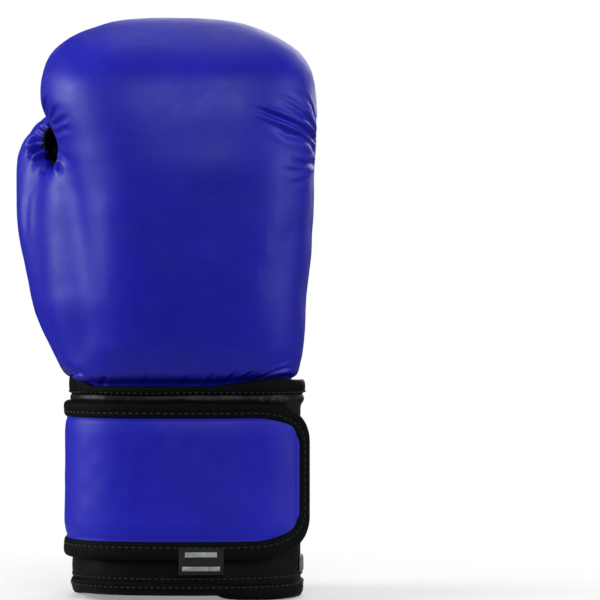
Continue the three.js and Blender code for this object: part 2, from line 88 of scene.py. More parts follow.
# ---- shape of the fist and thumb ---------------------------------------------------------------
LEFT_BACK = table([[92, 52.5], [104, 52.5], [112, 53], [125, 52.5], [145, 51.5], [170, 51], [195, 52.5], [210, 55], [218, 57.5], [225, 59.5], [232, 62.3], [238, 65], [244, 68], [252, 70], [262, 72], [275, 75], [288.75, 78]])
LEFT_PALM = table([[92, 52], [104, 52], [112, 50], [125, 46], [145, 43], [170, 42], [195, 42], [210, 42], [222, 43], [230, 46], [236, 51], [243, 59], [250, 66], [258, 71], [268, 74], [288.75, 78]])
RIGHT = table([[92, 62.2], [104, 61.8], [112, 62.4], [120, 63.9], [132, 65.2], [150, 66.5], [172, 68.5], [196, 69.5], [220, 70.4], [236, 71.4], [250, 72.5], [262, 73.5], [270, 73.5], [278, 72], [288.75, 68]])
BACK = table([[92, 45], [104, 45.5], [112, 49], [125, 54], [145, 59], [170, 63], [195, 66], [215, 67.5], [232, 67.5], [250, 66], [265, 61], [275, 56], [283, 50], [288.75, 45]])
PALM = table([[92, 35], [104, 35.5], [125, 35], [150, 34], [180, 33.5], [200, 33.5], [206, 34.5], [212, 38], [217, 45], [222, 52], [228, 57], [236, 60], [250, 60.5], [265, 57], [275, 53], [283, 48], [288.75, 44]])
THUMB_PATH = [[-40, 8, 98, 16], [-48.5, 8, 122, 17], [-59, 9, 146, 17], [-65.5, 10, 170, 16.5], [-68.8, 12, 190, 16.2], [-69.3, 17, 207, 16.4], [-68.6, 23.5, 221, 16.2], [-62.2, 32, 232.2, 13.6]]


def curl_edge(x):
    return 18 * np.abs((x - 10) / 50) ** 2.4


def fist_g(x, y, z):
    zp = z - curl_edge(np.clip(x, -50, 60)) * (1 - smooth(236, 262, z)) * smooth(190, 206, z)
    tuck = 1 - 0.055 * np.exp(-(((z - NECK) / 3.2) ** 2))
    left = (LEFT_BACK(z) + (LEFT_PALM(z) - LEFT_BACK(z)) * smooth(-6, 24, y)) * tuck
    right = RIGHT(z) * tuck
    back, palm = BACK(z) * tuck, PALM(zp) * tuck
    u = np.abs(x - FIST_CX) / np.where(x < FIST_CX, left, right)
    v = np.abs(y - FIST_CY) / np.where(y < FIST_CY, back, palm)
    t = np.clip((z - CAP_Z) / (TOP_Z - CAP_Z), 0, None)
    return (u**FIST_N + v**FIST_N + t**CAP_M) ** (1 / FIST_N) - 1


def catmull(points, n):
    p = np.asarray(points, float)
    p = np.vstack([2 * p[0] - p[1], p, 2 * p[-1] - p[-2]])
    out = []
    m = len(p) - 3
    for s in np.linspace(0, m, n):
        i = min(int(s), m - 1)
        t = s - i
        a, b, c, d = p[i : i + 4]
        out.append(0.5 * (2 * b + (c - a) * t + (2 * a - 5 * b + 4 * c - d) * t * t + (3 * b - a - 3 * c + d) * t**3))
    return np.array(out)


THUMB = catmull(THUMB_PATH, 22)
FLAT = np.array([1.0, 0.72, 1.0])


def thumb_d(x, y, z):
    p = np.stack([x, y * FLAT[1], z], -1)
    best = np.full(p.shape[:-1], 1e9)
    c = THUMB[:, :3] * FLAT
    for i in range(len(THUMB) - 1):
        ab = c[i + 1] - c[i]
        t = np.clip(((p - c[i]) @ ab) / (ab @ ab), 0, 1)
        d = np.linalg.norm(p - (c[i] + t[..., None] * ab), axis=-1) - (THUMB[i, 3] + t * (THUMB[i + 1, 3] - THUMB[i, 3]))
        best = np.minimum(best, d)
    return best


def smin(a, b, k):
    h = np.clip(0.5 + 0.5 * (b - a) / k, 0, 1)
    return b + (a - b) * h - k * h * (1 - h)


HOLE = np.array([-65.9, -3.0, 224.2])


def build_field():
    ax = np.arange(-93, 76, CELL)
    ay = np.arange(-68, 72, CELL)
    az = np.arange(94, 294, CELL)
    X, Y, Z = np.meshgrid(ax, ay, az, indexing="ij")
    g = fist_g(X, Y, Z)
    gx, gy, gz = np.gradient(g, CELL)
    fist = g / np.maximum(np.sqrt(gx * gx + gy * gy + gz * gz), 0.004)
    fist = np.clip(fist, -30, 60)
    near = ax < -14
    thumb = np.full(X.shape, 60.0)
    thumb[near] = thumb_d(X[near], Y[near], Z[near])
    # broad soft web on the back of the hand, tight valley on the palm side and round the thumb's tip
    k = 3.0 + 27.0 * (1 - smooth(-2, 16, Y)) * (1 - smooth(194, 222, Z)) * smooth(100, 150, Z) + 5.0 * smooth(0, 20, Y) * (1 - smooth(120, 150, Z))
    d = smin(fist, thumb, k)
    web = np.full(X.shape, 60.0)
    c0, c1 = np.array([-49.0, -20.0, 116.0]), np.array([-55.5, -20.0, 202.0])
    pts = np.stack([X[near], Y[near], Z[near]], -1)
    s_ = np.clip(((pts - c0) @ (c1 - c0)) / ((c1 - c0) @ (c1 - c0)), 0, 1)
    web[near] = np.linalg.norm(pts - (c0 + s_[..., None] * (c1 - c0)), axis=-1) - (5.0 + 5.0 * smooth(0.0, 0.4, s_))
    d = smin(d, web, 16.0)
    # the open eye between thumb tip and fist
    q = np.stack([(X - HOLE[0] + 0.15 * (Z - HOLE[2])) / 3.5, (Y - HOLE[1]) / 15.0, (Z - HOLE[2]) / 8.4], -1)
    eye = (np.linalg.norm(q, axis=-1) - 1) * 3.5
    d = -smin(-d, eye, 2.6)
    return (ax, ay, az), d.astype(np.float32), fist.astype(np.float32), thumb.astype(np.float32)


def surface_nets(D, axes):
    s = D < 0
    c = np.zeros(tuple(n - 1 for n in D.shape), np.int8)
    corners = [(i, j, k) for i in (0, 1) for j in (0, 1) for k in (0, 1)]
    nx, ny, nz = c.shape
    for i, j, k in corners:
        c += s[i : i + nx, j : j + ny, k : k + nz]
    active = (c > 0) & (c < 8)
    cells = np.argwhere(active)
    idx = np.full(active.shape, -1, np.int64)
    idx[active] = np.arange(len(cells))
    acc, cnt = np.zeros((len(cells), 3)), np.zeros(len(cells))
    for a in corners:
        for ax in range(3):
            if a[ax]:
                continue
            b = list(a)
            b[ax] = 1
            va = D[tuple((cells + a).T)]
            vb = D[tuple((cells + b).T)]
            m = (va < 0) != (vb < 0)
            t = va[m] / (va[m] - vb[m])
            p = cells[m] + np.array(a, float)
            p[:, ax] += t
            acc[m] += p
            cnt[m] += 1
    h = axes[0][1] - axes[0][0]
    V = acc / cnt[:, None] * h + np.array([a[0] for a in axes])
    quads = []
    for ax in range(3):
        u, v = (ax + 1) % 3, (ax + 2) % 3
        e0 = [slice(1, -1)] * 3
        e1 = [slice(1, -1)] * 3
        e0[ax], e1[ax] = slice(0, -1), slice(1, None)
        A, B = s[tuple(e0)], s[tuple(e1)]
        where = np.argwhere(A != B)
        inside_first = A[tuple(where.T)]
        base = where.copy()
        base[:, u] += 1
        base[:, v] += 1
        loop = []
        for du, dv in ((-1, -1), (0, -1), (0, 0), (-1, 0)):
            q = base.copy()
            q[:, u] += du
            q[:, v] += dv
            loop.append(idx[tuple(q.T)])
        loop = np.stack(loop, 1)
        loop[~inside_first] = loop[~inside_first][:, ::-1]
        quads.append(loop)
    return V, np.vstack(quads)


class Sampler:
    def __init__(self, D, axes):
        self.D, self.o, self.h = D, np.array([a[0] for a in axes]), axes[0][1] - axes[0][0]
        self.n = np.array(D.shape)

    def __call__(self, P):
        q = np.clip((P - self.o) / self.h, 0, self.n - 1.001)
        i = q.astype(int)
        f = q - i
        out = 0
        for a in (0, 1):
            for b in (0, 1):
                for c in (0, 1):
                    w = (f[:, 0] if a else 1 - f[:, 0]) * (f[:, 1] if b else 1 - f[:, 1]) * (f[:, 2] if c else 1 - f[:, 2])
                    out = out + w * self.D[i[:, 0] + a, i[:, 1] + b, i[:, 2] + c]
        return out

    def grad(self, P, e=None):
        e = e or self.h
        g = np.stack([self(P + d) - self(P - d) for d in np.eye(3) * e], 1) / (2 * e)
        return g


def edges_of(F):
    n = F.shape[1]
    e = np.vstack([F[:, [i, (i + 1) % n]] for i in range(n)])
    e.sort(axis=1)
    return np.unique(e, axis=0)


def average(V, E, values):
    out = np.zeros((len(V),) + values.shape[1:])
    cnt = np.bincount(E.ravel(), minlength=len(V)).astype(float)
    if values.ndim == 1:
        out = np.bincount(E[:, 0], values[E[:, 1]], len(V)) + np.bincount(E[:, 1], values[E[:, 0]], len(V))
        return out / np.maximum(cnt, 1)
    for i in range(values.shape[1]):
        out[:, i] = np.bincount(E[:, 0], values[E[:, 1], i], len(V)) + np.bincount(E[:, 1], values[E[:, 0], i], len(V))
    return out / np.maximum(cnt, 1)[:, None]


def normals(V, F):
    if F.shape[1] == 4:
        n = np.cross(V[F[:, 2]] - V[F[:, 0]], V[F[:, 3]] - V[F[:, 1]])
    else:
        n = np.cross(V[F[:, 1]] - V[F[:, 0]], V[F[:, 2]] - V[F[:, 0]])
    out = np.zeros_like(V)
    for i in range(F.shape[1]):
        for c in range(3):
            out[:, c] += np.bincount(F[:, i], n[:, c], len(V))
    return out / np.maximum(np.linalg.norm(out, axis=1), 1e-12)[:, None]


def cut(V, F, field, extra=()):
    """Splits triangles along the zero line of field (one value per vertex). Returns V, F, extras, and the faces' side."""
    f = np.where(np.abs(field) < 1e-5, 1e-5, field)
    pos = f > 0
    side = pos[F]
    n_pos = side.sum(1)
    keep = (n_pos == 0) | (n_pos == 3)
    mixed = F[~keep]
    ms = side[~keep]
    lone_is_pos = ms.sum(1) == 1
    lone = np.where(lone_is_pos[:, None], ms, ~ms).argmax(1)
    r = np.arange(len(mixed))
    a, b, c = mixed[r, lone], mixed[r, (lone + 1) % 3], mixed[r, (lone + 2) % 3]
    pairs = np.vstack([np.stack([a, b], 1), np.stack([a, c], 1)])
    key = np.sort(pairs, axis=1)
    uniq, inv = np.unique(key, axis=0, return_inverse=True)
    inv = inv.ravel()
    t = f[uniq[:, 0]] / (f[uniq[:, 0]] - f[uniq[:, 1]])
    newV = V[uniq[:, 0]] + t[:, None] * (V[uniq[:, 1]] - V[uniq[:, 0]])
    m = len(mixed)
    ab, ac = len(V) + inv[:m], len(V) + inv[m:]
    tri = np.vstack([np.stack([a, ab, ac], 1), np.stack([ab, b, c], 1), np.stack([ab, c, ac], 1)])
    tri_side = np.concatenate([lone_is_pos, ~lone_is_pos, ~lone_is_pos])
    outF = np.vstack([F[keep], tri])
    out_side = np.concatenate([n_pos[keep] == 3, tri_side])
    ex = [np.concatenate([e, e[uniq[:, 0]] + (t if e.ndim == 1 else t[:, None]) * (e[uniq[:, 1]] - e[uniq[:, 0]])]) for e in extra]
    return np.vstack([V, newV]), outF, ex, out_side


def compact(V, F, extra=()):
    used = np.unique(F)
    m = np.full(len(V), -1)
    m[used] = np.arange(len(used))
    return V[used], m[F], [e[used] for e in extra]


def make(name, V, F, material, smooth_faces=True, in_metres=False, crisp=0):
    mesh = bpy.data.meshes.new(name)
    P = V if in_metres else metres(V)
    F = np.asarray(F)
    mesh.vertices.add(len(P))
    mesh.vertices.foreach_set("co", P.astype(np.float32).ravel())
    n = F.shape[1]
    mesh.loops.add(F.size)
    mesh.loops.foreach_set("vertex_index", F.astype(np.int32).ravel())
    mesh.polygons.add(len(F))
    mesh.polygons.foreach_set("loop_start", np.arange(0, F.size, n, dtype=np.int32))
    mesh.update(calc_edges=True)
    mesh.validate()
    at = mesh.attributes.new("rest", "FLOAT_VECTOR", "POINT")
    co = np.zeros(len(mesh.vertices) * 3, np.float32)
    mesh.vertices.foreach_get("co", co)
    at.data.foreach_set("vector", co)
    if smooth_faces:
        mesh.polygons.foreach_set("use_smooth", np.ones(len(mesh.polygons), bool))
    if crisp:
        mesh.set_sharp_from_angle(angle=math.radians(crisp))
    obj = bpy.data.objects.new(name, mesh)
    bpy.context.scene.collection.objects.link(obj)
    if material is not None:
        mesh.materials.append(material)
    return obj


def polygon_sd(pts, x, z):
    """Signed distance to a closed outline in X and Z, positive inside."""
    p = np.asarray(pts, float)
    q = np.roll(p, -1, 0)
    best = np.full(np.shape(x), 1e18)
    inside = np.zeros(np.shape(x), bool)
    for (x0, z0), (x1, z1) in zip(p, q):
        dx, dz = x1 - x0, z1 - z0
        t = np.clip(((x - x0) * dx + (z - z0) * dz) / max(dx * dx + dz * dz, 1e-12), 0, 1)
        best = np.minimum(best, (x - x0 - t * dx) ** 2 + (z - z0 - t * dz) ** 2)
        crosses = (z0 > z) != (z1 > z)
        if z1 != z0:
            inside ^= crosses & (x < (x1 - x0) * (z - z0) / (z1 - z0) + x0)
    return np.where(inside, 1, -1) * np.sqrt(best)


def noise1(t, seed=0):
    """Smooth one-dimensional value noise with unit spacing."""
    r = np.random.default_rng(1000 + seed).uniform(-1, 1, 4096)
    i = np.floor(t).astype(int)
    f = t - i
    f = f * f * (3 - 2 * f)
    return r[i % 4096] * (1 - f) + r[(i + 1) % 4096] * f


def noise3(P, scale, seed=0):
    """Smooth three-dimensional value noise."""
    r = np.random.default_rng(2000 + seed).uniform(-1, 1, (32, 32, 32))
    q = P / scale
    i = np.floor(q).astype(int)
    f = q - i
    f = f * f * (3 - 2 * f)
    out = 0
    for a in (0, 1):
        for b in (0, 1):
            for c in (0, 1):
                w = (f[:, 0] if a else 1 - f[:, 0]) * (f[:, 1] if b else 1 - f[:, 1]) * (f[:, 2] if c else 1 - f[:, 2])
                out = out + w * r[(i[:, 0] + a) % 32, (i[:, 1] + b) % 32, (i[:, 2] + c) % 32]
    return out


# ---- materials ---------------------------------------------------------------------------------
def srgb(r, g, b):
    return tuple(((c / 255) / 12.92 if c / 255 <= 0.04045 else ((c / 255 + 0.055) / 1.055) ** 2.4) for c in (r, g, b)) + (1.0,)


class Nodes:
    def __init__(self, name):
        self.m = bpy.data.materials.new(name)
        self.m.use_nodes = True
        self.t = self.m.node_tree
        self.t.nodes.clear()
        self.out = self.t.nodes.new("ShaderNodeOutputMaterial")
        self.b = self.t.nodes.new("ShaderNodeBsdfPrincipled")
        self.link(self.b, "BSDF", self.out, "Surface")
        at = self.t.nodes.new("ShaderNodeAttribute")
        at.attribute_name = "rest"
        self.at = at

    def link(self, a, ao, b, bi):
        self.t.links.new(a.outputs[ao], b.inputs[bi])

    def scaled(self, s):
        n = self.t.nodes.new("ShaderNodeMapping")
        n.inputs["Scale"].default_value = s if hasattr(s, "__len__") else (s, s, s)
        self.link(self.at, "Vector", n, "Vector")
        return n

    def noise(self, scale, detail=3, rough=0.5, src=None):
        n = self.t.nodes.new("ShaderNodeTexNoise")
        n.inputs["Scale"].default_value = scale
        n.inputs["Detail"].default_value = detail
        n.inputs["Roughness"].default_value = rough
        self.t.links.new((src or self.at).outputs["Vector"], n.inputs["Vector"])
        return n

    def voronoi(self, scale, feature="DISTANCE_TO_EDGE", src=None):
        n = self.t.nodes.new("ShaderNodeTexVoronoi")
        n.feature = feature
        n.inputs["Scale"].default_value = scale
        self.t.links.new((src or self.at).outputs["Vector"], n.inputs["Vector"])
        return n

    def ramp(self, src, out, stops):
        n = self.t.nodes.new("ShaderNodeValToRGB")
        e = n.color_ramp.elements
        e[0].position, e[0].color = stops[0][0], stops[0][1]
        e[1].position, e[1].color = stops[1][0], stops[1][1]
        for p, c in stops[2:]:
            k = e.new(p)
            k.color = c
        self.link(src, out, n, "Fac")
        return n

    def bump(self, src, out, strength, distance, prev=None):
        n = self.t.nodes.new("ShaderNodeBump")
        n.inputs["Strength"].default_value = strength
        n.inputs["Distance"].default_value = distance
        self.link(src, out, n, "Height")
        if prev is not None:
            self.link(prev, "Normal", n, "Normal")
        return n

    def done(self, bump=None):
        if bump is not None:
            self.link(bump, "Normal", self.b, "Normal")
        return self.m


def leather(name, base, dark, rough=0.42, grain=900, strength=0.16, spec=0.5, coat=0.0):
    n = Nodes(name)
    cloud = n.noise(38, 4, 0.55)
    col = n.ramp(cloud, "Fac", [(0.30, srgb(*dark)), (0.70, srgb(*base))])
    n.link(col, "Color", n.b, "Base Color")
    n.b.inputs["Specular IOR Level"].default_value = spec
    if coat:
        n.b.inputs["Coat Weight"].default_value = coat
        n.b.inputs["Coat Roughness"].default_value = 0.3
    patch = n.noise(120, 3, 0.6)
    rr = n.ramp(patch, "Fac", [(0.25, (rough - 0.05,) * 3 + (1,)), (0.75, (rough + 0.07,) * 3 + (1,))])
    n.link(rr, "Color", n.b, "Roughness")
    pores = n.voronoi(grain)
    b1 = n.bump(pores, "Distance", strength, 0.00022)
    fine = n.noise(grain * 0.45, 4, 0.6)
    b2 = n.bump(fine, "Fac", strength * 0.8, 0.00030, b1)
    soft = n.noise(95, 2, 0.5)
    b3 = n.bump(soft, "Fac", 0.10, 0.0012, b2)
    return n.done(b3)


def weave(name, base, dark, pitch=1400, rough=0.75, strength=0.5, sheen=0.06, spec=0.3):
    n = Nodes(name)
    w1 = n.t.nodes.new("ShaderNodeTexWave")
    w1.bands_direction = "X"
    w1.inputs["Scale"].default_value = pitch / 6.28
    w1.inputs["Distortion"].default_value = 0.6
    w2 = n.t.nodes.new("ShaderNodeTexWave")
    w2.bands_direction = "Z"
    w2.inputs["Scale"].default_value = pitch / 6.28
    w2.inputs["Distortion"].default_value = 0.6
    n.link(n.at, "Vector", w1, "Vector")
    n.link(n.at, "Vector", w2, "Vector")
    mx = n.t.nodes.new("ShaderNodeMath")
    mx.operation = "MULTIPLY"
    n.link(w1, "Fac", mx, 0)
    n.link(w2, "Fac", mx, 1)
    cloud = n.noise(260, 3, 0.6)
    col = n.ramp(cloud, "Fac", [(0.3, srgb(*dark)), (0.75, srgb(*base))])
    n.link(col, "Color", n.b, "Base Color")
    n.b.inputs["Roughness"].default_value = rough
    n.b.inputs["Sheen Weight"].default_value = sheen
    n.b.inputs["Specular IOR Level"].default_value = spec
    n.b.inputs["Sheen Roughness"].default_value = 0.5
    b1 = n.bump(mx, "Value", strength, 0.0003)
    b2 = n.bump(cloud, "Fac", 0.2, 0.0004, b1)
    return n.done(b2)


BLUE = leather("blue_leather", (16, 16, 174), (12, 12, 159), rough=0.49, grain=1000, strength=0.12, spec=0.36)
BLUE_STRAP = leather("blue_leather_strap", (17, 18, 174), (13, 14, 160), rough=0.52, grain=1000, strength=0.16, spec=0.28)
MATTE_K = leather("cuff_black", (6, 9, 8), (3, 5, 5), rough=0.60, grain=1200, strength=0.3, spec=0.07)
NECK_K = leather("neck_black", (6, 9, 8), (3, 5, 5), rough=0.45, grain=900, strength=0.22, spec=0.20)
BLACK = leather("black_leather", (6, 9, 9), (3, 5, 5), rough=0.42, grain=850, strength=0.22, spec=0.20)
TAPE = weave("binding_tape", (6, 9, 8), (3, 5, 5), pitch=2600, rough=0.66, strength=0.35, sheen=0.0, spec=0.06)
LINING = weave("lining_fabric", (30, 32, 34), (17, 18, 20), pitch=2200, rough=0.85, strength=0.4)
THREAD_W = weave("thread_white", (214, 214, 210), (180, 181, 180), pitch=5200, rough=0.7, strength=0.3)
THREAD_K = weave("thread_black", (16, 19, 18), (6, 8, 8), pitch=5200, rough=0.6, strength=0.3)
SILVER = weave("label_silver", (176, 180, 184), (120, 124, 128), pitch=3600, rough=0.5, strength=0.5)
LABEL_K = weave("label_ground", (10, 13, 12), (6, 8, 8), pitch=4200, rough=0.7, strength=0.35)
SILVER_DIM = weave("size_label_weave", (112, 117, 114), (70, 74, 72), pitch=3600, rough=0.6, strength=0.5)
PILE = weave("loop_pile", (16, 16, 17), (8, 8, 9), pitch=1500, rough=0.95, strength=0.9, sheen=0.3)

# ---- the hand section --------------------------------------------------------------------------
CURL = [(x, 216.6 + curl_edge(x)) for x in np.arange(58, -37, -4.0)]
THUMB_EDGE = [(-38.5, 237), (-42, 247), (-47.5, 254), (-53, 256), (-56.5, 252), (-51, 246), (-47.5, 239), (-47.5, 230), (-51, 221), (-57, 207), (-61, 195), (-62.3, 184), (-61.5, 172), (-57, 148), (-51, 126), (-46, 100)]
PALM_OUTLINE = [(95, 60), (95, 236), (66, 236)] + CURL + THUMB_EDGE + [(-40, 60)]
SEAM = table([[-60, 198], [-46, 202.5], [-30, 208.0], [-18, 211.5], [-6, 213.4], [6, 214.0], [22, 213.2], [38, 209.6], [56, 202.5], [70, 196]], -80, 90, 400)


def side_line(z):
    return 4.0 - 7.0 * np.exp(-(((z - 195) / 34) ** 4))


def black_f(P):
    x, y, z = P[:, 0], P[:, 1], P[:, 2]
    f = polygon_sd(PALM_OUTLINE, x, z)
    f = np.minimum(f, y - side_line(z))
    q = np.hypot((x - HOLE[0] + 0.15 * (z - HOLE[2])) / 3.9, (z - HOLE[2]) / 8.7)
    return np.maximum(f, np.minimum((1 - q) * 3.9, 13.0 - y))


def tangential(fn, P, N, e=0.4):
    f = fn(P)
    g = np.stack([fn(P + d) - fn(P - d) for d in np.eye(3) * e], 1) / (2 * e)
    g = g - (g * N).sum(1)[:, None] * N
    return f, f / np.clip(np.linalg.norm(g, axis=1), 0.25, 1.5)


AXES, FIELD, FIST_D, THUMB_D = build_field()
V, Q = surface_nets(FIELD, AXES)
S, S_FIST, S_THUMB = Sampler(FIELD, AXES), Sampler(FIST_D, AXES), Sampler(THUMB_D, AXES)
E = edges_of(Q)
for _ in range(8):
    V = V + 0.5 * (average(V, E, V) - V)
    g = S.grad(V)
    V = V - (S(V) / np.maximum((g * g).sum(1), 0.05))[:, None] * g
N = normals(V, Q)

F = np.vstack([Q[:, [0, 1, 2]], Q[:, [0, 2, 3]]])


def bvh(V, F):
    return BVHTree.FromPolygons(V.tolist(), F.tolist())


TREE = bvh(V, F)


def drop(x, z, side):
    """The surface point at X and Z on the back (side -1) or palm (side +1)."""
    hit = TREE.ray_cast(Vector((x, 150.0 * side, z)), Vector((0, -side, 0)))
    return np.array(hit[0]) if hit[0] is not None else None


def lay(points, side, n=None):
    pts = catmull(points, n) if n else np.asarray(points, float)
    out = [drop(float(p[0]), float(p[1]), side) for p in pts]
    return np.array([p for p in out if p is not None])


def path_distance(P, path):
    """Distance from each point to a polyline, and how far along it (0 to 1) the nearest place is."""
    best = np.full(len(P), 1e18)
    where = np.zeros(len(P))
    seg = np.linalg.norm(np.diff(path, axis=0), axis=1)
    total, run = seg.sum(), 0.0
    for i in range(len(path) - 1):
        ab = path[i + 1] - path[i]
        t = np.clip(((P - path[i]) @ ab) / max(ab @ ab, 1e-9), 0, 1)
        d = ((P - path[i] - t[:, None] * ab) ** 2).sum(1)
        m = d < best
        best[m] = d[m]
        where[m] = (run + t[m] * seg[i]) / total
        run += seg[i]
    return np.sqrt(best), where


def split_quads(V, Q):
    """Cuts every quad into four."""
    e = np.vstack([Q[:, [i, (i + 1) % 4]] for i in range(4)])
    key = np.sort(e, axis=1)
    uniq, inv = np.unique(key, axis=0, return_inverse=True)
    inv = inv.ravel() + len(V)
    mid = (V[uniq[:, 0]] + V[uniq[:, 1]]) / 2
    cen = V[Q].mean(1)
    n = len(Q)
    m = [inv[i * n : (i + 1) * n] for i in range(4)]
    c = len(V) + len(mid) + np.arange(n)
    out = [np.stack([Q[:, i], m[i], c, m[i - 1]], 1) for i in range(4)]
    return np.vstack([V, mid, cen]), np.vstack(out)


def simulate(frames=18, cell=4.6):
    """Inflates the cover as sewn leather: seams are held, the panels between them swell and pucker."""
    ax = [np.arange(a[0], a[-1], cell) for a in AXES]
    G = np.meshgrid(*ax, indexing="ij")
    D = S(np.stack([g.ravel() for g in G], 1)).reshape(G[0].shape)
    P, q = surface_nets(D, ax)
    for _ in range(4):
        P = P + 0.5 * (average(P, edges_of(q), P) - P)
        g = S.grad(P)
        P = P - (S(P) / np.maximum((g * g).sum(1), 0.05))[:, None] * g
    n = normals(P, q)
    start = P - 0.9 * n
    _, db = tangential(black_f, P, n)
    valley = np.abs(S_THUMB(P) - S_FIST(P))
    hold = np.maximum.reduce([np.exp(-((db / 3.2) ** 2)), 0.9 * np.exp(-((valley / 3.0) ** 2)), 1 - smooth(108, 116, P[:, 2]), 0.75 * np.exp(-(((P[:, 2] - SEAM(P[:, 0])) / 3.0) ** 2)) * (P[:, 1] > 6)])
    hold = np.clip(hold, 0, 1)
    obj = make("inflate", start, q, None)
    grp = obj.vertex_groups.new(name="hold")
    for lvl in range(21):
        ids = np.where(np.round(hold * 20).astype(int) == lvl)[0]
        if len(ids):
            grp.add(ids.tolist(), lvl / 20, "REPLACE")
    mod = obj.modifiers.new("cloth", "CLOTH")
    s = mod.settings
    s.quality = 6
    s.mass = 0.35
    s.tension_stiffness = s.compression_stiffness = 14
    s.shear_stiffness = 6
    s.bending_stiffness = 0.4
    s.tension_damping = s.compression_damping = s.shear_damping = 8
    s.use_pressure = True
    s.uniform_pressure_force = 4
    s.shrink_min = -0.035
    s.vertex_group_mass = "hold"
    s.pin_stiffness = 1.0
    s.effector_weights.gravity = 0
    mod.collision_settings.use_collision = False
    mod.point_cache.frame_end = frames + 2
    scn = bpy.context.scene
    for f in range(1, frames + 1):
        scn.frame_set(f)
    ev = obj.evaluated_get(bpy.context.evaluated_depsgraph_get())
    co = np.zeros(len(P) * 3, np.float32)
    ev.data.vertices.foreach_get("co", co)
    out = co.reshape(-1, 3) * 1000.0 - SHIFT
    scn.frame_set(1)
    mesh = obj.data
    bpy.data.objects.remove(obj)
    bpy.data.meshes.remove(mesh)
    move = out - P
    move[~np.isfinite(move).all(1)] = 0
    ed = edges_of(q)
    for _ in range(5):
        move = 0.5 * move + 0.5 * average(P, ed, move)
    along = (move * n).sum(1)
    rest = move - along[:, None] * n
    along = np.clip(along - np.median(along), -1.8, 1.6)
    rest *= np.minimum(1, 1.2 / np.maximum(np.linalg.norm(rest, axis=1), 1e-6))[:, None]
    calm = 0.7 - 0.45 * (1 - smooth(-46, -34, P[:, 0])) * (1 - smooth(-2, 12, P[:, 1])) - 0.15 * (1 - smooth(-6, 10, P[:, 1]))
    return P, q, (along[:, None] * n + rest) * calm[:, None]


def carry(P, q, move, V):
    """Takes a move known on a coarse mesh to the points of a fine one."""
    tri = np.vstack([q[:, [0, 1, 2]], q[:, [0, 2, 3]]])
    tree = bvh(P, tri)
    out = np.zeros_like(V)
    for i, v in enumerate(V.tolist()):
        loc, _, k, _ = tree.find_nearest(v)
        a, b, c = P[tri[k, 0]], P[tri[k, 1]], P[tri[k, 2]]
        l = np.array(loc)
        n = np.cross(b - a, c - a)
        nn = n @ n
        wa = np.cross(b - l, c - l) @ n / nn
        wb = np.cross(c - l, a - l) @ n / nn
        out[i] = wa * move[tri[k, 0]] + wb * move[tri[k, 1]] + (1 - wa - wb) * move[tri[k, 2]]
    return out


sp, sq, smove = simulate()
V = V + carry(sp, sq, smove, V)
V, Q = split_quads(V, Q)
E = edges_of(Q)
for _ in range(2):
    V = V + 0.4 * (average(V, E, V) - V)
N = normals(V, Q)
F = np.vstack([Q[:, [0, 1, 2]], Q[:, [0, 2, 3]]])
TREE = bvh(V, F)

DISP = np.zeros(len(V))


def crease(path, depth, width, shoulder=0.45, ends=(0.25, 0.5), grow=0.0):
    """A fold: a valley along the path with a soft shoulder on each side. It fades at both ends."""
    if len(path) < 2:
        return
    w0 = width * (1 + max(grow, 0))
    lo, hi = path.min(0) - w0 * 5, path.max(0) + w0 * 5
    m = np.where(((V > lo) & (V < hi)).all(1))[0]
    if not len(m):
        return
    d, t = path_distance(V[m], path)
    w = width * (1 + grow * t)
    fade = (smooth(0, ends[0], t + 1e-3) if ends[0] > 0 else 1.0) * ((1 - smooth(1 - ends[1], 1.0, t)) if ends[1] > 0 else 1.0)
    # near the ends the distance is round the end point, which keeps the fade round too
    prof = -np.exp(-((d / w) ** 2)) + shoulder * np.exp(-(((d - 1.9 * w) / (1.0 * w)) ** 2))
    DISP[m] += depth * fade * prof


def fold(points, side, depth, width, **k):
    crease(lay(points, side, max(8, 5 * len(points))), depth, width, **k)


# seams first: how far each vertex is from the edge between blue and black
f_black, d_black = tangential(black_f, V, N)
on_fist = S_FIST(V) < S_THUMB(V)
eye_q = np.hypot((V[:, 0] - HOLE[0]) / 8.0, (V[:, 2] - HOLE[2]) / 13.0)
DISP += (-1.3 * np.exp(-((d_black / 1.4) ** 2)) + 0.35 * np.exp(-(((np.abs(d_black) - 4.5) / 3.0) ** 2))) * np.where(V[:, 1] < 16, smooth(0.8, 1.3, eye_q), 1.0)
DISP -= 1.5 * smooth(255, 284, V[:, 2]) + 0.2
# low, slow unevenness of the padding
DISP += 0.42 * noise3(V, 34, 1) + 0.20 * noise3(V, 15, 2)

NECK_EDGE = table([[-70, 110.2], [-57.3, 109.9], [-53.1, 109.4], [-46.7, 106.2], [-42.5, 104.6], [12.2, 104.6], [23.8, 105.7], [39.6, 107.8], [48, 108.8], [55.4, 107.3], [66, 106.8]], -80, 90, 400)


def neck_edge(x, y):
    """Height of the cover's lower edge: wavy over the back of the wrist, nearly level on the palm."""
    return NECK + (NECK_EDGE(x) - NECK) * (1 - smooth(-4, 14, y))


e_ = V[:, 2] - neck_edge(V[:, 0], V[:, 1])
DISP -= (1.6 + 2.4 * smooth(-46, -58, V[:, 0])) * np.exp(-((e_ / 3.2) ** 2))

B = -1
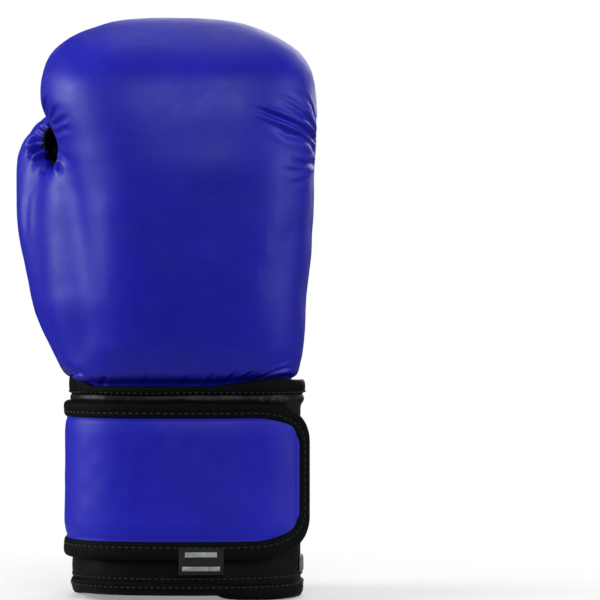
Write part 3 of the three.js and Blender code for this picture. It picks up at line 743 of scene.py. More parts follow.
# gathers that run out from the eye between thumb tip and fist
fold([(-65.2, 232.0), (-67.3, 234.9), (-69.0, 237.2)], B, 1.3, 1.0, ends=(0.05, 0.5))
fold([(-67.4, 229.5), (-70.2, 232.1), (-72.3, 233.9), (-73.9, 234.9)], B, 2.2, 1.05, ends=(0.05, 0.35))
fold([(-68.6, 228.0), (-72.3, 229.8), (-74.4, 230.6), (-76.5, 231.0)], B, 1.9, 1.0, ends=(0.05, 0.4))
fold([(-69.2, 226.1), (-73.0, 226.5), (-76.0, 226.3), (-78.4, 225.2), (-80.2, 223.0)], B, 2.8, 1.35, ends=(0.05, 0.3), grow=0.3)
fold([(-69.2, 223.4), (-72.6, 223.0), (-74.9, 222.0), (-77.5, 220.0), (-79.2, 217.6)], B, 3.0, 1.5, ends=(0.05, 0.35), grow=0.5)
fold([(-67.3, 218.8), (-69.7, 217.9), (-71.8, 216.2), (-73.9, 213.8), (-75.0, 210.0)], B, 1.7, 1.4, ends=(0.08, 0.6), grow=0.8)
fold([(-65.8, 216.4), (-67.1, 213.8), (-68.6, 210.9), (-69.7, 206.5)], B, 1.0, 1.3, ends=(0.08, 0.6), grow=0.9)
fold([(-64.0, 215.6), (-64.6, 212.8), (-65.0, 209.6), (-65.5, 204.0)], B, 0.9, 1.2, ends=(0.1, 0.6), grow=0.7)
fold([(-62.0, 216.2), (-60.8, 213.3), (-59.8, 210.9), (-59.3, 206.6)], B, 1.6, 1.2, ends=(0.08, 0.55), grow=0.6)
fold([(-61.0, 219.5), (-58.0, 217.0), (-55.5, 215.6), (-53.0, 214.8)], B, 0.55, 1.3, ends=(0.1, 0.6), grow=0.6)
fold([(-63.8, 233.4), (-61.8, 232.6), (-59.2, 233.4), (-56.6, 234.7), (-52.7, 236.2)], B, 0.75, 1.1, ends=(0.08, 0.5), grow=0.4)
fold([(-62.9, 229.2), (-60.5, 228.7), (-57.9, 229.8), (-55.1, 229.8), (-51.2, 231.0)], B, 0.7, 1.2, ends=(0.08, 0.5), grow=0.5)
fold([(-64.4, 235.0), (-63.0, 237.2), (-61.0, 239.6), (-58.0, 242.0)], B, 0.7, 1.1, ends=(0.08, 0.6), grow=0.5)
# long soft drags down the thumb and dents on the fist's thumb side
fold([(-77.5, 205), (-78.6, 190), (-78.0, 172)], B, 0.45, 2.6, ends=(0.3, 0.4))
fold([(-66.8, 238.2), (-67.6, 241.2), (-66.8, 244.6), (-64.4, 248.0)], B, 1.1, 1.3, ends=(0.05, 0.6))
fold([(-68.6, 250.0), (-66.6, 254.2), (-62.5, 258.0)], B, 0.3, 1.6, ends=(0.3, 0.55))
fold([(-69.2, 262.4), (-67.4, 266.4), (-61.5, 272.6), (-53.2, 276.6)], B, 0.8, 1.9, ends=(0.05, 0.45))
# folds drawn to the little-finger side
fold([(55.0, 253.0), (59.3, 248.5), (61.6, 245.3), (63.8, 242.1), (65.1, 238.6), (66.2, 235.4)], B, 0.55, 1.5, ends=(0.5, 0.08))
fold([(49.3, 247.6), (53.3, 245.9), (56.1, 244.0), (59.3, 241.5), (61.6, 239.6)], B, 0.45, 1.4, ends=(0.4, 0.3))
fold([(44.6, 244.7), (48.5, 242.7), (52.6, 241.5), (56.1, 239.9), (60.0, 237.3), (63.2, 234.1), (65.4, 230.3), (66.2, 227.1)], B, 0.95, 1.6, ends=(0.35, 0.08))
fold([(33.1, 239.6), (39.2, 238.3), (43.4, 236.7), (47.8, 235.1), (52.3, 233.5), (56.8, 231.6), (60.6, 229.7), (63.8, 227.4), (65.9, 225.5)], B, 1.45, 1.35, shoulder=0.65, ends=(0.25, 0.05))
fold([(39.5, 232.9), (43.4, 231.6), (47.8, 229.7), (51.7, 227.4), (55.5, 226.8), (59.3, 226.2), (62.5, 224.9), (64.7, 222.6), (65.9, 220.1)], B, 1.2, 2.1, ends=(0.35, 0.08))
fold([(50.7, 215.5), (55.8, 214.0), (60.0, 213.4), (63.8, 214.0), (65.7, 215.0)], B, 0.85, 1.5, ends=(0.35, 0.1))
fold([(47.1, 209.9), (54.2, 209.6), (59.0, 209.9), (63.2, 210.8)], B, 0.5, 1.7, ends=(0.4, 0.2))
fold([(52.0, 203.0), (58.0, 204.5), (63.5, 207.5)], B, 0.35, 1.6, ends=(0.4, 0.2))
# short folds over the wrist seam
fold([(11.5, 103.6), (13.3, 107.4), (17.4, 112.5)], B, 0.9, 1.1, ends=(0.0, 0.6))
fold([(19.6, 104.0), (23.8, 108.4), (28.5, 112.7)], B, 1.0, 1.2, ends=(0.0, 0.6))
fold([(28.1, 105.2), (32.2, 109.2), (37.6, 113.1)], B, 1.0, 1.2, ends=(0.0, 0.6))
fold([(36.5, 106.0), (43.8, 110.2), (50.1, 112.5), (55.8, 114.2)], B, 1.3, 1.3, ends=(0.0, 0.4))
fold([(-1.0, 103.6), (1.5, 107.5), (3.0, 111.5)], B, 0.5, 1.2, ends=(0.0, 0.6))
fold([(-18.0, 103.6), (-17.0, 108.0), (-14.0, 112.5)], B, 0.4, 1.4, ends=(0.0, 0.6))
fold([(-57.3, 109.2), (-53.1, 110.4), (-46.7, 107.2), (-40.5, 106.0)], B, 0.9, 1.2, ends=(0.05, 0.5))
fold([(-40.0, 103.6), (-37.5, 108.5), (-36.5, 114.0)], B, 0.45, 1.4, ends=(0.0, 0.6))

# palm side: gathers where the cover is drawn in over the curl, the web pleats and the thumb's cover
Z_CURL = lambda x: 217.0 + curl_edge(x)
rg = np.random.default_rng(3)
for i, x in enumerate(np.arange(-30, 58, 7.6)):
    x = x + rg.uniform(-1.4, 1.4)
    zc = float(Z_CURL(np.array(x)))
    ln = rg.uniform(9, 19)
    dx = rg.uniform(-2.5, 2.5)
    fold([(x, zc + 1.0), (x + 0.4 * dx, zc + 0.5 * ln), (x + dx, zc + ln)], 1, rg.uniform(0.7, 1.25), rg.uniform(1.1, 1.6), ends=(0.0, 0.65), grow=0.6)
arc_ = catmull([(-57.0, 257.5), (-51.5, 259.5), (-45.0, 256.0), (-40.0, 249.5), (-36.0, 241.5), (-32.0, 234.0)], 11)
for i, o in enumerate(arc_[1:], 1):
    a = math.radians(112 - 7.4 * i)
    ln = (15, 19, 23, 25, 27, 27, 25, 22, 19, 16, 13)[i] * rg.uniform(0.88, 1.1)
    u = np.array([math.cos(a), math.sin(a)])
    w = np.array([-u[1], u[0]]) * rg.uniform(-1.2, 1.2)
    fold([tuple(o - u * 0.5), tuple(o + u * ln * 0.35 + w * 0.7), tuple(o + u * ln * 0.7 + w * 1.0), tuple(o + u * ln + w * 0.6)], 1, (0.5 if i < 3 else 1.0) * rg.uniform(0.95, 1.4), rg.uniform(0.95, 1.25), ends=(0.0, 0.6), grow=1.0)
for x0, z0, ln, d in ((-51.5, 222, 9, 0.6), (-54, 214, 10, 0.7), (-57.6, 206, 13, 1.1), (-59.2, 201, 13, 0.9), (-60.2, 197.5, 9, 0.7), (-61.2, 193.5, 11, 0.85), (-61.8, 190, 9, 0.8), (-62.4, 186.5, 11, 0.85), (-62.4, 183, 8, 0.6), (-62.0, 178, 9, 0.6), (-61.0, 168, 8, 0.45), (-57.6, 150, 9, 0.5)):
    fold([(x0, z0), (x0 - ln * 0.5, z0 + 1.4), (x0 - ln, z0 + 0.6)], 1, d, 1.05, ends=(0.0, 0.6), grow=0.7)
for x, z0, z1, d in ((-30, 118, 140, 0.5), (26, 112, 128, 0.6), (38, 108, 122, 0.7), (46, 108, 126, 0.5), (-16, 108, 124, 0.5)):
    fold([(x, z0), (x + 1.5, (z0 + z1) / 2), (x + 4, z1)], 1, d, 1.6, ends=(0.0, 0.6))

V = V + N * DISP[:, None]
N = normals(V, Q)
TREE = bvh(V, F)

# cut off the bottom, the slit, and split the panels
z_cut = V[:, 2] - neck_edge(V[:, 0], V[:, 1]) + 1.2
slit_x = 4.0


def slit_f(P):
    x, y, z = P[:, 0], P[:, 1], P[:, 2]
    half = 7.5 + 1.5 * smooth(120, 150, z)
    top = 171.0
    d = np.where(z < top, np.abs(x - slit_x) - half, np.hypot(x - slit_x, z - top) - 9.0)
    return np.where(y > 8, -d, -20.0)


f_seam = np.where(on_fist, 1.0, 1.0) * (V[:, 2] - SEAM(V[:, 0]))
f_slit = slit_f(V)
d_tf = (S_THUMB(V) - S_FIST(V))
attrs = [f_black, f_seam, f_slit, d_tf]
V, F, attrs, side = cut(V, F, z_cut, attrs)
F = F[side]
f_black, f_seam, f_slit, d_tf = attrs
V, F, attrs, side = cut(V, F, f_black, attrs)
blue_F, black_F = F[~side], F[side]
V2, F2, ex = compact(V, blue_F)
outer = make("outer_cover_soft", V2, F2, BLUE)
V3, F3, ex = compact(V, black_F, attrs)
V3, F3, ex, side = cut(V3, F3, ex[2], ex)
F3 = F3[~side]
V3, F3, ex, side = cut(V3, F3, ex[3], ex)
thumb_F, fist_F = F3[~side], F3[side]
Vt, Ft, _ = compact(V3, thumb_F)
thumb_panel = make("thumb_inner_soft", Vt, Ft, BLACK)
V4, F4, ex4 = compact(V3, fist_F, ex)
V4, F4, ex4, side = cut(V4, F4, ex4[1], ex4)
Vp, Fp, _ = compact(V4, F4[~side])
palm_panel = make("palm_panel_soft", Vp, Fp, BLACK)
Vf, Ff, _ = compact(V4, F4[side])
finger_panel = make("finger_panel_soft", Vf, Ff, BLACK)

for o, slot in ((outer, "blue_leather"), (thumb_panel, "black_leather"), (palm_panel, "black_leather"), (finger_panel, "black_leather")):
    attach(o, "glove")
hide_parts("outer_cover", "fist_padding")
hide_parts("thumb_inner_panel", "thumb_padding")
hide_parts("palm_panel", "palm_padding")
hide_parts("finger_panel")


# ---- trim and stitching on the hand ------------------------------------------------------------
def unit(a):
    return a / np.maximum(np.linalg.norm(a, axis=-1, keepdims=True), 1e-9)


def join(parts):
    vs, fs, n = [], [], 0
    for v, f in parts:
        vs.append(v)
        fs.append(f + n)
        n += len(v)
    return np.vstack(vs), np.vstack(fs)


def on_surface(points, side, n, lift=0.0, soften=2):
    """Stations along a curve laid on the back or palm, with the surface's outward direction at each."""
    P, D = [], []
    for p in catmull(points, n):
        hit = TREE.ray_cast(Vector((float(p[0]), 150.0 * side, float(p[1]))), Vector((0, -side, 0)))
        if hit[0] is None:
            continue
        d = np.array(hit[1])
        P.append(np.array(hit[0]))
        D.append(d if d[1] * side > 0 else -d)
    P, D = np.array(P), np.array(D)
    for _ in range(soften):
        D[1:-1] = (D[:-2] + 2 * D[1:-1] + D[2:]) / 4
        P[1:-1] = (P[:-2] + 2 * P[1:-1] + P[2:]) / 4
    D = unit(D)
    return P + D * lift, D


def aside(P, D, by):
    """The same curve moved sideways over the surface."""
    t = unit(np.gradient(P, axis=0))
    Q_ = P + np.cross(t, D) * by
    out, nn = [], []
    for q_, d in zip(Q_, D):
        hit = TREE.ray_cast(Vector(q_ + d * 12), Vector(-d), 30.0)
        out.append(np.array(hit[0]) if hit[0] is not None else q_)
        nn.append(d)
    return np.array(out), np.array(nn)


def tube(P, D, radius, squash=1.0, sides=10, taper=2):
    """A cord or roll along stations P whose outward side is D. It closes to a point at both ends."""
    t = unit(np.gradient(P, axis=0))
    b = unit(np.cross(t, D))
    d = unit(np.cross(b, t))
    r = np.full(len(P), radius) if np.isscalar(radius) else np.asarray(radius, float)
    if taper:
        k = np.arange(len(P))
        e = np.minimum(k, len(P) - 1 - k) / taper
        r = r * np.sqrt(np.clip(1 - (1 - np.clip(e, 0, 1)) ** 2, 0.0004, 1))
    a = np.linspace(0, 2 * np.pi, sides, endpoint=False)
    ring = P[:, None] + r[:, None, None] * (np.cos(a)[None, :, None] * b[:, None] + squash * np.sin(a)[None, :, None] * d[:, None])
    return ring.reshape(-1, 3), grid_faces(len(P), sides, wrap_v=True, flip=True)


def stitch_run(P, D, pitch=3.1, length=2.3, r=0.3, phase=0.4):
    """Thread: short raised loops along the stations."""
    seg = np.linalg.norm(np.diff(P, axis=0), axis=1)
    s = np.concatenate([[0], np.cumsum(seg)])
    at = lambda q: np.stack([np.interp(q, s, P[:, i]) for i in range(3)], -1)
    dn = lambda q: np.stack([np.interp(q, s, D[:, i]) for i in range(3)], -1)
    out = []
    prof, rise = np.array([0.35, 0.9, 1.0, 0.9, 0.35]), np.array([-0.9, 0.2, 0.55, 0.2, -0.9])
    x = phase * pitch
    while x + length < s[-1]:
        q = np.linspace(x, x + length, 5)
        d = dn(q)
        v, f = tube(at(q) + d * (rise * r)[:, None], d, r * prof, 0.8, 6, taper=0)
        out.append((v, f))
        x += pitch
    return out


def add(name, parts, material, slot, *bodies, blend=None, padded=None):
    v, f = join(parts)
    o = make(name, v, f, material)
    if blend:
        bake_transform(o)
    else:
        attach(o, bodies[0])
    return o


def grid_faces(nu, nv, flip=False, wrap_v=False):
    i, j = np.meshgrid(np.arange(nu - 1), np.arange(nv if wrap_v else nv - 1), indexing="ij")
    j2 = (j + 1) % nv
    q = np.stack([i * nv + j, (i + 1) * nv + j, (i + 1) * nv + j2, i * nv + j2], -1).reshape(-1, 4)
    return q[:, ::-1] if flip else q


def overlay(outline, side, lift, cell=1.4, edge=1.6, keep=None):
    """A patch sewn on the surface: lifted inside its outline and rolled down at the edge."""
    o = np.asarray(outline, float)
    xs = np.arange(o[:, 0].min() - 2, o[:, 0].max() + 2, cell)
    zs = np.arange(o[:, 1].min() - 2, o[:, 1].max() + 2, cell)
    X, Z = np.meshgrid(xs, zs, indexing="ij")
    sd = polygon_sd(o, X, Z)
    if keep is not None:
        sd = np.minimum(sd, keep(X, Z))
    P = np.zeros(X.shape + (3,))
    D = np.zeros(X.shape + (3,))
    for i in range(X.shape[0]):
        for j in range(X.shape[1]):
            hit = TREE.ray_cast(Vector((X[i, j], 150.0 * side, Z[i, j])), Vector((0, -side, 0))) if sd[i, j] > -3 * cell else (None,)
            if hit[0] is None:
                P[i, j], D[i, j] = (X[i, j], 0, Z[i, j]), (0, side, 0)
                sd[i, j] = min(sd[i, j], -cell)
            else:
                d = np.array(hit[1])
                P[i, j], D[i, j] = hit[0], d if d[1] * side > 0 else -d
    for _ in range(3):
        D[1:-1, 1:-1] = (D[1:-1, 1:-1] * 2 + D[:-2, 1:-1] + D[2:, 1:-1] + D[1:-1, :-2] + D[1:-1, 2:]) / 6
    D = unit(D)
    P = P + D * (lift * smooth(-0.2, edge, sd) - 0.3 * (sd < 0.15))[..., None]
    q = grid_faces(len(xs), len(zs), flip=side > 0)
    v, f, _, s_ = cut(P.reshape(-1, 3), np.vstack([q[:, [0, 1, 2]], q[:, [0, 2, 3]]]), sd.ravel())
    v, f, _ = compact(v, f[s_])
    return v, f


def tri_make(name, vf, material):
    o = make(name, vf[0], vf[1], material)
    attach(o, "glove")
    return o


# rolled edge of the eye at the thumb's tip
ang = np.radians(np.linspace(52, 318, 46))
ring = [(HOLE[0] - 0.15 * 8.6 * math.sin(q) + 4.3 * math.cos(q), HOLE[2] + 9.0 * math.sin(q)) for q in ang]
P, D = on_surface(ring, -1, 60, lift=-0.2, soften=8)
eye_roll = add("thumb_eye_roll", [tube(P, D, 1.25, 1.0, 12, taper=8)], BLACK, "black_leather", "glove")

# palm: bound slit, patch round it, web band, tie
half = lambda z: 7.5 + 1.5 * smooth(120, 150, z) + 1.3
left = [(slit_x - float(half(z)), z) for z in np.linspace(104, 171, 9)]
arc = [(slit_x - 10.3 * math.cos(q), 171 + 10.3 * math.sin(q)) for q in np.linspace(0.25, math.pi - 0.25, 9)]
right = [(slit_x + float(half(z)), z) for z in np.linspace(171, 104, 9)]
P, D = on_surface(left + arc + right, 1, 150, lift=0.5, soften=5)
roll_d = D
slit_roll = add("slit_binding_soft", [tube(P, D, 2.1, 0.85, 12, taper=3)], BLACK, "black_leather", "glove")
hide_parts("slit_binding")

U = [(-18.5, 104), (-18.8, 150), (-18.5, 178), (-16, 189), (-9, 196.5), (3, 199.5), (14, 197.5), (21.5, 190.5), (24.8, 178), (25.2, 150), (25, 104)]
patch = tri_make("palm_patch_soft", overlay(U, 1, 1.35, keep=lambda x, z: -slit_f(np.stack([x.ravel(), np.full(x.size, 20.0), z.ravel()], 1)).reshape(x.shape)), BLACK)
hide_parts("palm_patch")
WEB_R = catmull([(-43.0, 143.0), (-36.5, 151.0), (-30.2, 160.5), (-26.6, 171.0), (-25.6, 182.0), (-27.4, 195.0), (-31.4, 206.0), (-36.6, 213.0), (-43.5, 217.5)], 40)
WEB_L = catmull([(-44.5, 216.0), (-42.6, 211.0), (-39.6, 203.5), (-37.0, 193.5), (-36.0, 183.0), (-36.6, 173.0), (-38.6, 163.0), (-41.2, 153.0), (-44.0, 144.5)], 40)
WEB = [tuple(q) for q in WEB_R] + [tuple(q) for q in WEB_L]
web = tri_make("web_band_soft", overlay(WEB, 1, 1.5, cell=1.1, edge=1.4), BLUE_STRAP)
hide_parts("web_band")

W = []
for inset in (2.3, 4.6):
    k = inset
    line = [(-18.6 + k, 106), (-18.8 + k, 150), (-18.4 + k, 178), (-16.2 + k * 0.95, 188.6 - k * 0.3), (-9 + k * 0.5, 196.5 - k * 0.85), (3, 199.5 - k), (14 - k * 0.4, 197.5 - k * 0.9), (21.5 - k * 0.9, 190.5 - k * 0.4), (24.8 - k, 178), (25.2 - k, 150), (25 - k, 106)]
    P, D = on_surface(line, 1, 220, lift=1.35)
    W += stitch_run(P, D, 3.2, 2.4, 0.34)
for rim_, other in ((WEB_R, WEB_L[::-1]), (WEB_L[::-1], WEB_R)):
    pull = np.clip(2.0 / np.maximum(np.linalg.norm(other - rim_, axis=1), 1e-6), 0, 0.45)
    line = (rim_ + (other - rim_) * pull[:, None])[3:-3:3]
    P, D = on_surface([tuple(q) for q in line], 1, 160, lift=1.45)
    W += stitch_run(P, D, 3.2, 2.4, 0.34)
for up in (-1.5, 1.2):
    P, D = on_surface([(x, float(SEAM(np.array(x))) + up) for x in np.linspace(-38, 56, 14)], 1, 240, lift=0.05)
    W += stitch_run(P, D, 3.2, 2.4, 0.34)
for line in ([(-47, 231.5), (-40, 230.5), (-30, 229.5)], [(-49, 243), (-44, 243), (-40, 242.6)]):
    P, D = on_surface(line, 1, 40, lift=0.05)
    W += stitch_run(P, D, 3.2, 2.4, 0.34)

# tie between the thumb's tip and the fist
a0, b0 = drop(-57.5, 223.0, 1), drop(-38.0, 219.5, 1)
tt = np.linspace(0, 1, 26)[:, None]
P = a0 + (b0 - a0) * tt + np.array([0, 1.0, 0]) * (4 * tt * (1 - tt)) * 3.0
P = P + np.array([0, 0.5, 0])
D = np.tile([-0.15, 1.0, 0.0], (len(P), 1))
tie = add("thumb_tie_soft", [tube(P, D, 4.2, 0.28, 14, taper=3)], BLACK, "black_leather", "glove")
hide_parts("thumb_tie")
for s_, c_ in ((0.22, 1), (0.80, -1)):
    m_ = a0 + (b0 - a0) * s_ + np.array([0, 4 * s_ * (1 - s_) * 3.0 + 1.75, 0])
    q_ = np.array([m_ + np.array([-1.9 * c_, 0, -2.6]), m_, m_ + np.array([1.9 * c_, 0, 2.6])])
    W += stitch_run(catmull(q_, 14), np.tile([0, 1.0, 0], (14, 1)), 6.0, 5.0, 0.4, phase=0.05)
white = add("stitching_white", W, THREAD_W, "binding", "glove")

# ---- the cuff's curve --------------------------------------------------------------------------
DEG = np.linspace(0, 360, 7201)


def base_curve(deg):
    e = 2 / CUFF["n"]
    a = np.radians(deg)
    c, s = np.cos(a), np.sin(a)
    return np.stack([CUFF["cx"] + CUFF["a"] * np.sign(c) * np.abs(c) ** e, CUFF["cy"] + CUFF["b"] * np.sign(s) * np.abs(s) ** e], -1)


_pts = base_curve(DEG)
_len = np.concatenate([[0], np.cumsum(np.linalg.norm(np.diff(_pts, axis=0), axis=1))])
FULL = _len[-1]


def lap(deg):
    turn = np.floor(np.asarray(deg, float) / 360)
    return turn * FULL + np.interp(np.asarray(deg, float) - 360 * turn, DEG, _len)


# evenly spaced, smoothed samples of the curve and its outward normal
_n = 2400
_l = np.arange(_n) / _n * FULL
_xy = np.stack([np.interp(_l, _len, _pts[:, 0]), np.interp(_l, _len, _pts[:, 1])], 1)
_t = np.roll(_xy, -8, 0) - np.roll(_xy, 8, 0)
_t /= np.linalg.norm(_t, axis=1)[:, None]
_nrm = np.stack([_t[:, 1], -_t[:, 0]], 1)


def cuff_at(l, off):
    u = (np.asarray(l, float) / FULL) % 1.0 * _n
    i = np.floor(u).astype(int) % _n
    f = u - np.floor(u)
    j = (i + 1) % _n
    p = _xy[i] * (1 - f)[..., None] + _xy[j] * f[..., None]
    n = _nrm[i] * (1 - f)[..., None] + _nrm[j] * f[..., None]
    return p + n * np.asarray(off)[..., None]


def grid_faces(nu, nv, flip=False, wrap_v=False):
    i, j = np.meshgrid(np.arange(nu - 1), np.arange(nv if wrap_v else nv - 1), indexing="ij")
    j2 = (j + 1) % nv
    q = np.stack([i * nv + j, (i + 1) * nv + j, (i + 1) * nv + j2, i * nv + j2], -1).reshape(-1, 4)
    return q[:, ::-1] if flip else q


def sheet_grid(L, OFF, ZZ):
    xy = cuff_at(L, OFF)
    return np.concatenate([xy, ZZ[..., None]], -1).reshape(-1, 3)


PHI = dict(anchor=60, rootHinge=76, midHinge=141, peelHinge=221, tip=345)
SL = {k: float(lap(v)) for k, v in PHI.items()}
EX = 2 / CUFF["n"]


def lap_of_x(x, back=False):
    c = (x - CUFF["cx"]) / CUFF["a"]
    a = math.degrees(math.acos(math.copysign(abs(c) ** (CUFF["n"] / 2), c)))
    return float(lap(360 - a)) if back else float(lap(a))


SLIT0, SLIT1 = lap_of_x(4.0 - 10.1), lap_of_x(4.0 + 10.1) + FULL

# cuff cover
nu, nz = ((620, 110))
l = np.linspace(SLIT0, SLIT1, nu)
z = np.concatenate([np.linspace(3.0, 90.0, nz // 2), np.linspace(90.0, 104.2, nz - nz // 2 + 1)[1:]])
nz = len(z)
L, ZZ = np.meshgrid(l, z, indexing="ij")
P0 = np.stack([L.ravel(), ZZ.ravel(), np.zeros(L.size)], 1)
off = 0.5 * np.exp(-(((ZZ - 14) / 6) ** 2))
off = off + 0.55 * noise3(P0, 11, 5).reshape(L.shape) * np.exp(-(((ZZ - 15) / 9) ** 2))
# the neck band: puffed between two rows of stitching, crinkled along its length
band_w = np.exp(-(((ZZ - 98.0) / 2.7) ** 4))
off = off + 1.5 * np.exp(-(((ZZ - 98.2) / 3.0) ** 2)) + band_w * (0.42 * noise3(P0 * [1, 0.3, 1], 3.4, 6) + 0.35 * noise3(P0 * [0.55, 1.6, 1], 5.0, 7)).reshape(L.shape)
ends_in = np.minimum(L - SLIT0, SLIT1 - L)
off = off - 1.0 * (1 - smooth(0, 5, ends_in))
cuff = make("cuff_cover_soft", sheet_grid(L, off, ZZ), grid_faces(nu, nz), MATTE_K)
cuff.data.materials.append(NECK_K)
pc = np.zeros(len(cuff.data.polygons) * 3)
cuff.data.polygons.foreach_get("center", pc)
cuff.data.polygons.foreach_set("material_index", (pc.reshape(-1, 3)[:, 2] > 0.0915).astype(np.int32))
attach(cuff, "glove")
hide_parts("cuff_cover", "cuff_padding")


# hem: a folded binding round the mouth
def swept(l0, l1, n, profile, closed=True, wobble=None):
    """Runs a closed cross-section of (offset, z) along the cuff's curve."""
    prof = np.asarray(profile, float)
    L = np.repeat(np.linspace(l0, l1, n)[:, None], len(prof), 1)
    OFF = np.repeat(prof[None, :, 0], n, 0)
    ZZ = np.repeat(prof[None, :, 1], n, 0)
    if wobble is not None:
        OFF, ZZ = wobble(L, OFF, ZZ)
    return sheet_grid(L, OFF, ZZ), grid_faces(n, len(prof), wrap_v=True, flip=True)


hem_profile = [(-11.6, 7.5), (-11.9, 6.0), (-11.9, 2.0), (-11.2, 0.6), (-9.5, 0.0), (-2.0, 0.0), (0.2, 0.4), (1.2, 1.8), (1.45, 4.0), (1.35, 6.2), (0.95, 7.6), (0.2, 8.0), (-0.6, 7.8), (-0.8, 2.2), (-2.5, 1.7), (-9.0, 1.7), (-10.6, 2.2), (-10.7, 7.5)]
HEM_UP = table([[-60, 5.2], [-52, 5.2], [-24, 4.9], [-17, 3.7], [15, 3.3], [22, 1.2], [30, 0.5], [50, 0.0], [62, 0.0]], -80, 90, 400)


def hem_wave(L, OFF, ZZ):
    """The hem isn't quite level: its lower edge lifts in steps over the thumb side of the back."""
    xy = cuff_at(L, OFF)
    up = HEM_UP(xy[..., 0]) * smooth(6, -14, xy[..., 1])
    up = up + 0.22 * noise1(L / 7.0, 15)[...] * (ZZ > 1.0)
    return OFF - 0.35 * up * (ZZ < 2.5), np.maximum(ZZ + up * (1 - 0.62 * ZZ / 8.0), 0.0)


hv, hf = swept(SLIT0 + 0.3, SLIT1 - 0.3, 420, hem_profile, wobble=hem_wave)
hem = make("cuff_hem_soft", hv, hf, TAPE)
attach(hem, "glove")
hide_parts("cuff_hem")

# lining
nu, nz = 160, 30
L, ZZ = np.meshgrid(np.linspace(SLIT0, SLIT1, nu), np.linspace(2.2, 106, nz), indexing="ij")
lin = make("cuff_lining_soft", sheet_grid(L, -10.3 + 0 * L, ZZ), grid_faces(nu, nz, flip=True), LINING)
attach(lin, "glove")
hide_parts("cuff_lining")

def slab(L, OFF, ZZ, thick):
    top = sheet_grid(L, OFF, ZZ)
    bottom = sheet_grid(L, OFF - thick, ZZ)
    nu, nv = L.shape
    n = nu * nv
    Fq = grid_faces(nu, nv)
    back = Fq[:, ::-1] + n
    rim = [i * nv for i in range(nu)] + [(nu - 1) * nv + j for j in range(1, nv)] + [i * nv + nv - 1 for i in range(nu - 2, -1, -1)] + [j for j in range(nv - 2, 0, -1)]
    rim = np.array(rim)
    nxt = np.roll(rim, -1)
    walls = np.stack([nxt, rim, rim + n, nxt + n], 1)
    return np.vstack([top, bottom]), np.vstack([Fq, back, walls])


def along_cuff(l0, l1, n, off, z, wobble=None):
    """Stations along the cuff's curve and their outward direction."""
    ls = np.linspace(l0, l1, n)
    o = off + np.zeros(n)
    zz = z + np.zeros(n)
    if wobble is not None:
        o, zz = wobble(ls, o, zz)
    xy = cuff_at(ls, o)
    up = cuff_at(ls, o + 1.0)
    return np.concatenate([xy, zz[:, None]], 1), np.concatenate([up - xy, np.zeros((n, 1))], 1)


def welt_line(ls, o, zz):
    return o + 0.12 * noise1(ls / 5.0, 4), zz + 0.25 * noise1(ls / 16.0, 9)


# the black seam band under the cover's edge, with the row of thread that holds it
ls = np.linspace(SLIT0 + 0.5, SLIT1 - 0.5, 520)
xy, up = cuff_at(ls, 0.6 + 0 * ls), cuff_at(ls, 1.6 + 0 * ls)
out_ = np.concatenate([up - xy, np.zeros((520, 1))], 1)
top_ = neck_edge(xy[:, 0], xy[:, 1]) + 0.5
low_ = 100.7 + 0.3 * noise1(ls / 16.0, 9)
a_ = np.linspace(0, 2 * np.pi, 16, endpoint=False)
end_ = np.sqrt(np.clip(1 - (1 - np.clip(np.minimum(np.arange(520), 519 - np.arange(520)) / 4, 0, 1)) ** 2, 0.001, 1))
thick = (1.9 + 0.15 * noise1(ls / 6.0, 21)) * end_
tall = (top_ - low_) / 2 * end_
cen = np.concatenate([xy, ((top_ + low_) / 2)[:, None]], 1)
sn, cs = np.sign(np.sin(a_)) * np.abs(np.sin(a_)) ** 0.8, np.sign(np.cos(a_)) * np.abs(np.cos(a_)) ** 0.8
ring_ = cen[:, None] + thick[:, None, None] * cs[None, :, None] * out_[:, None] + (tall[:, None] * sn[None, :])[..., None] * np.array([0, 0, 1.0])
welt = add("neck_welt_soft", [(ring_.reshape(-1, 3), grid_faces(520, 16, wrap_v=True, flip=True))], TAPE, "binding", "glove")
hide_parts("neck_welt")
K = []
P, D = along_cuff(SLIT0 + 3, SLIT1 - 3, 700, 2.05, 101.7, welt_line)
K += stitch_run(P, D, 3.0, 2.2, 0.42)
P, D = along_cuff(SLIT0 + 3, SLIT1 - 3, 700, 1.28, 7.0)
K += stitch_run(P, D, 3.0, 2.2, 0.34)
P, D = along_cuff(SLIT0 + 3, SLIT1 - 3, 700, 0.62, 11.2)
K += stitch_run(P, D, 3.0, 2.2, 0.34)

# rolled edges of the slit, the stretch gusset behind it
E_ = []
for l0 in (SLIT0, SLIT1):
    zz = np.linspace(7.5, 104.0, 90)
    sgn = 1 if l0 == SLIT0 else -1
    xy = cuff_at(np.full(90, l0), -5.0 + 0.25 * noise1(zz / 9.0, 11))
    up = cuff_at(np.full(90, l0), -4.0 + 0 * zz)
    P = np.concatenate([xy, zz[:, None]], 1)
    D = np.concatenate([up - xy, np.zeros((90, 1))], 1)
    a_ = np.linspace(0, 2 * np.pi, 16, endpoint=False)
    t_ = unit(np.cross(D, [0, 0, 1.0]))
    wr = 2.3 * np.sqrt(np.clip(1 - (1 - np.clip(np.minimum(np.arange(90), 89 - np.arange(90)) / 3, 0, 1)) ** 2, 0.01, 1))
    ring_ = P[:, None] + wr[:, None, None] * (np.cos(a_)[None, :, None] * t_[:, None] * 1.0 + np.sin(a_)[None, :, None] * D[:, None] * 2.75)
    E_.append((ring_.reshape(-1, 3), grid_faces(90, 16, wrap_v=True)))
edge_t = add("slit_edge_thumb_side_soft", [E_[0]], TAPE, "binding", "glove")
edge_l = add("slit_edge_little_side_soft", [E_[1]], TAPE, "binding", "glove")
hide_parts("slit_edge_thumb_side")
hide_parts("slit_edge_little_side")
gx = np.linspace(-15.0, 23.0, 90)
gz = np.linspace(10.0, 98.0, 60)
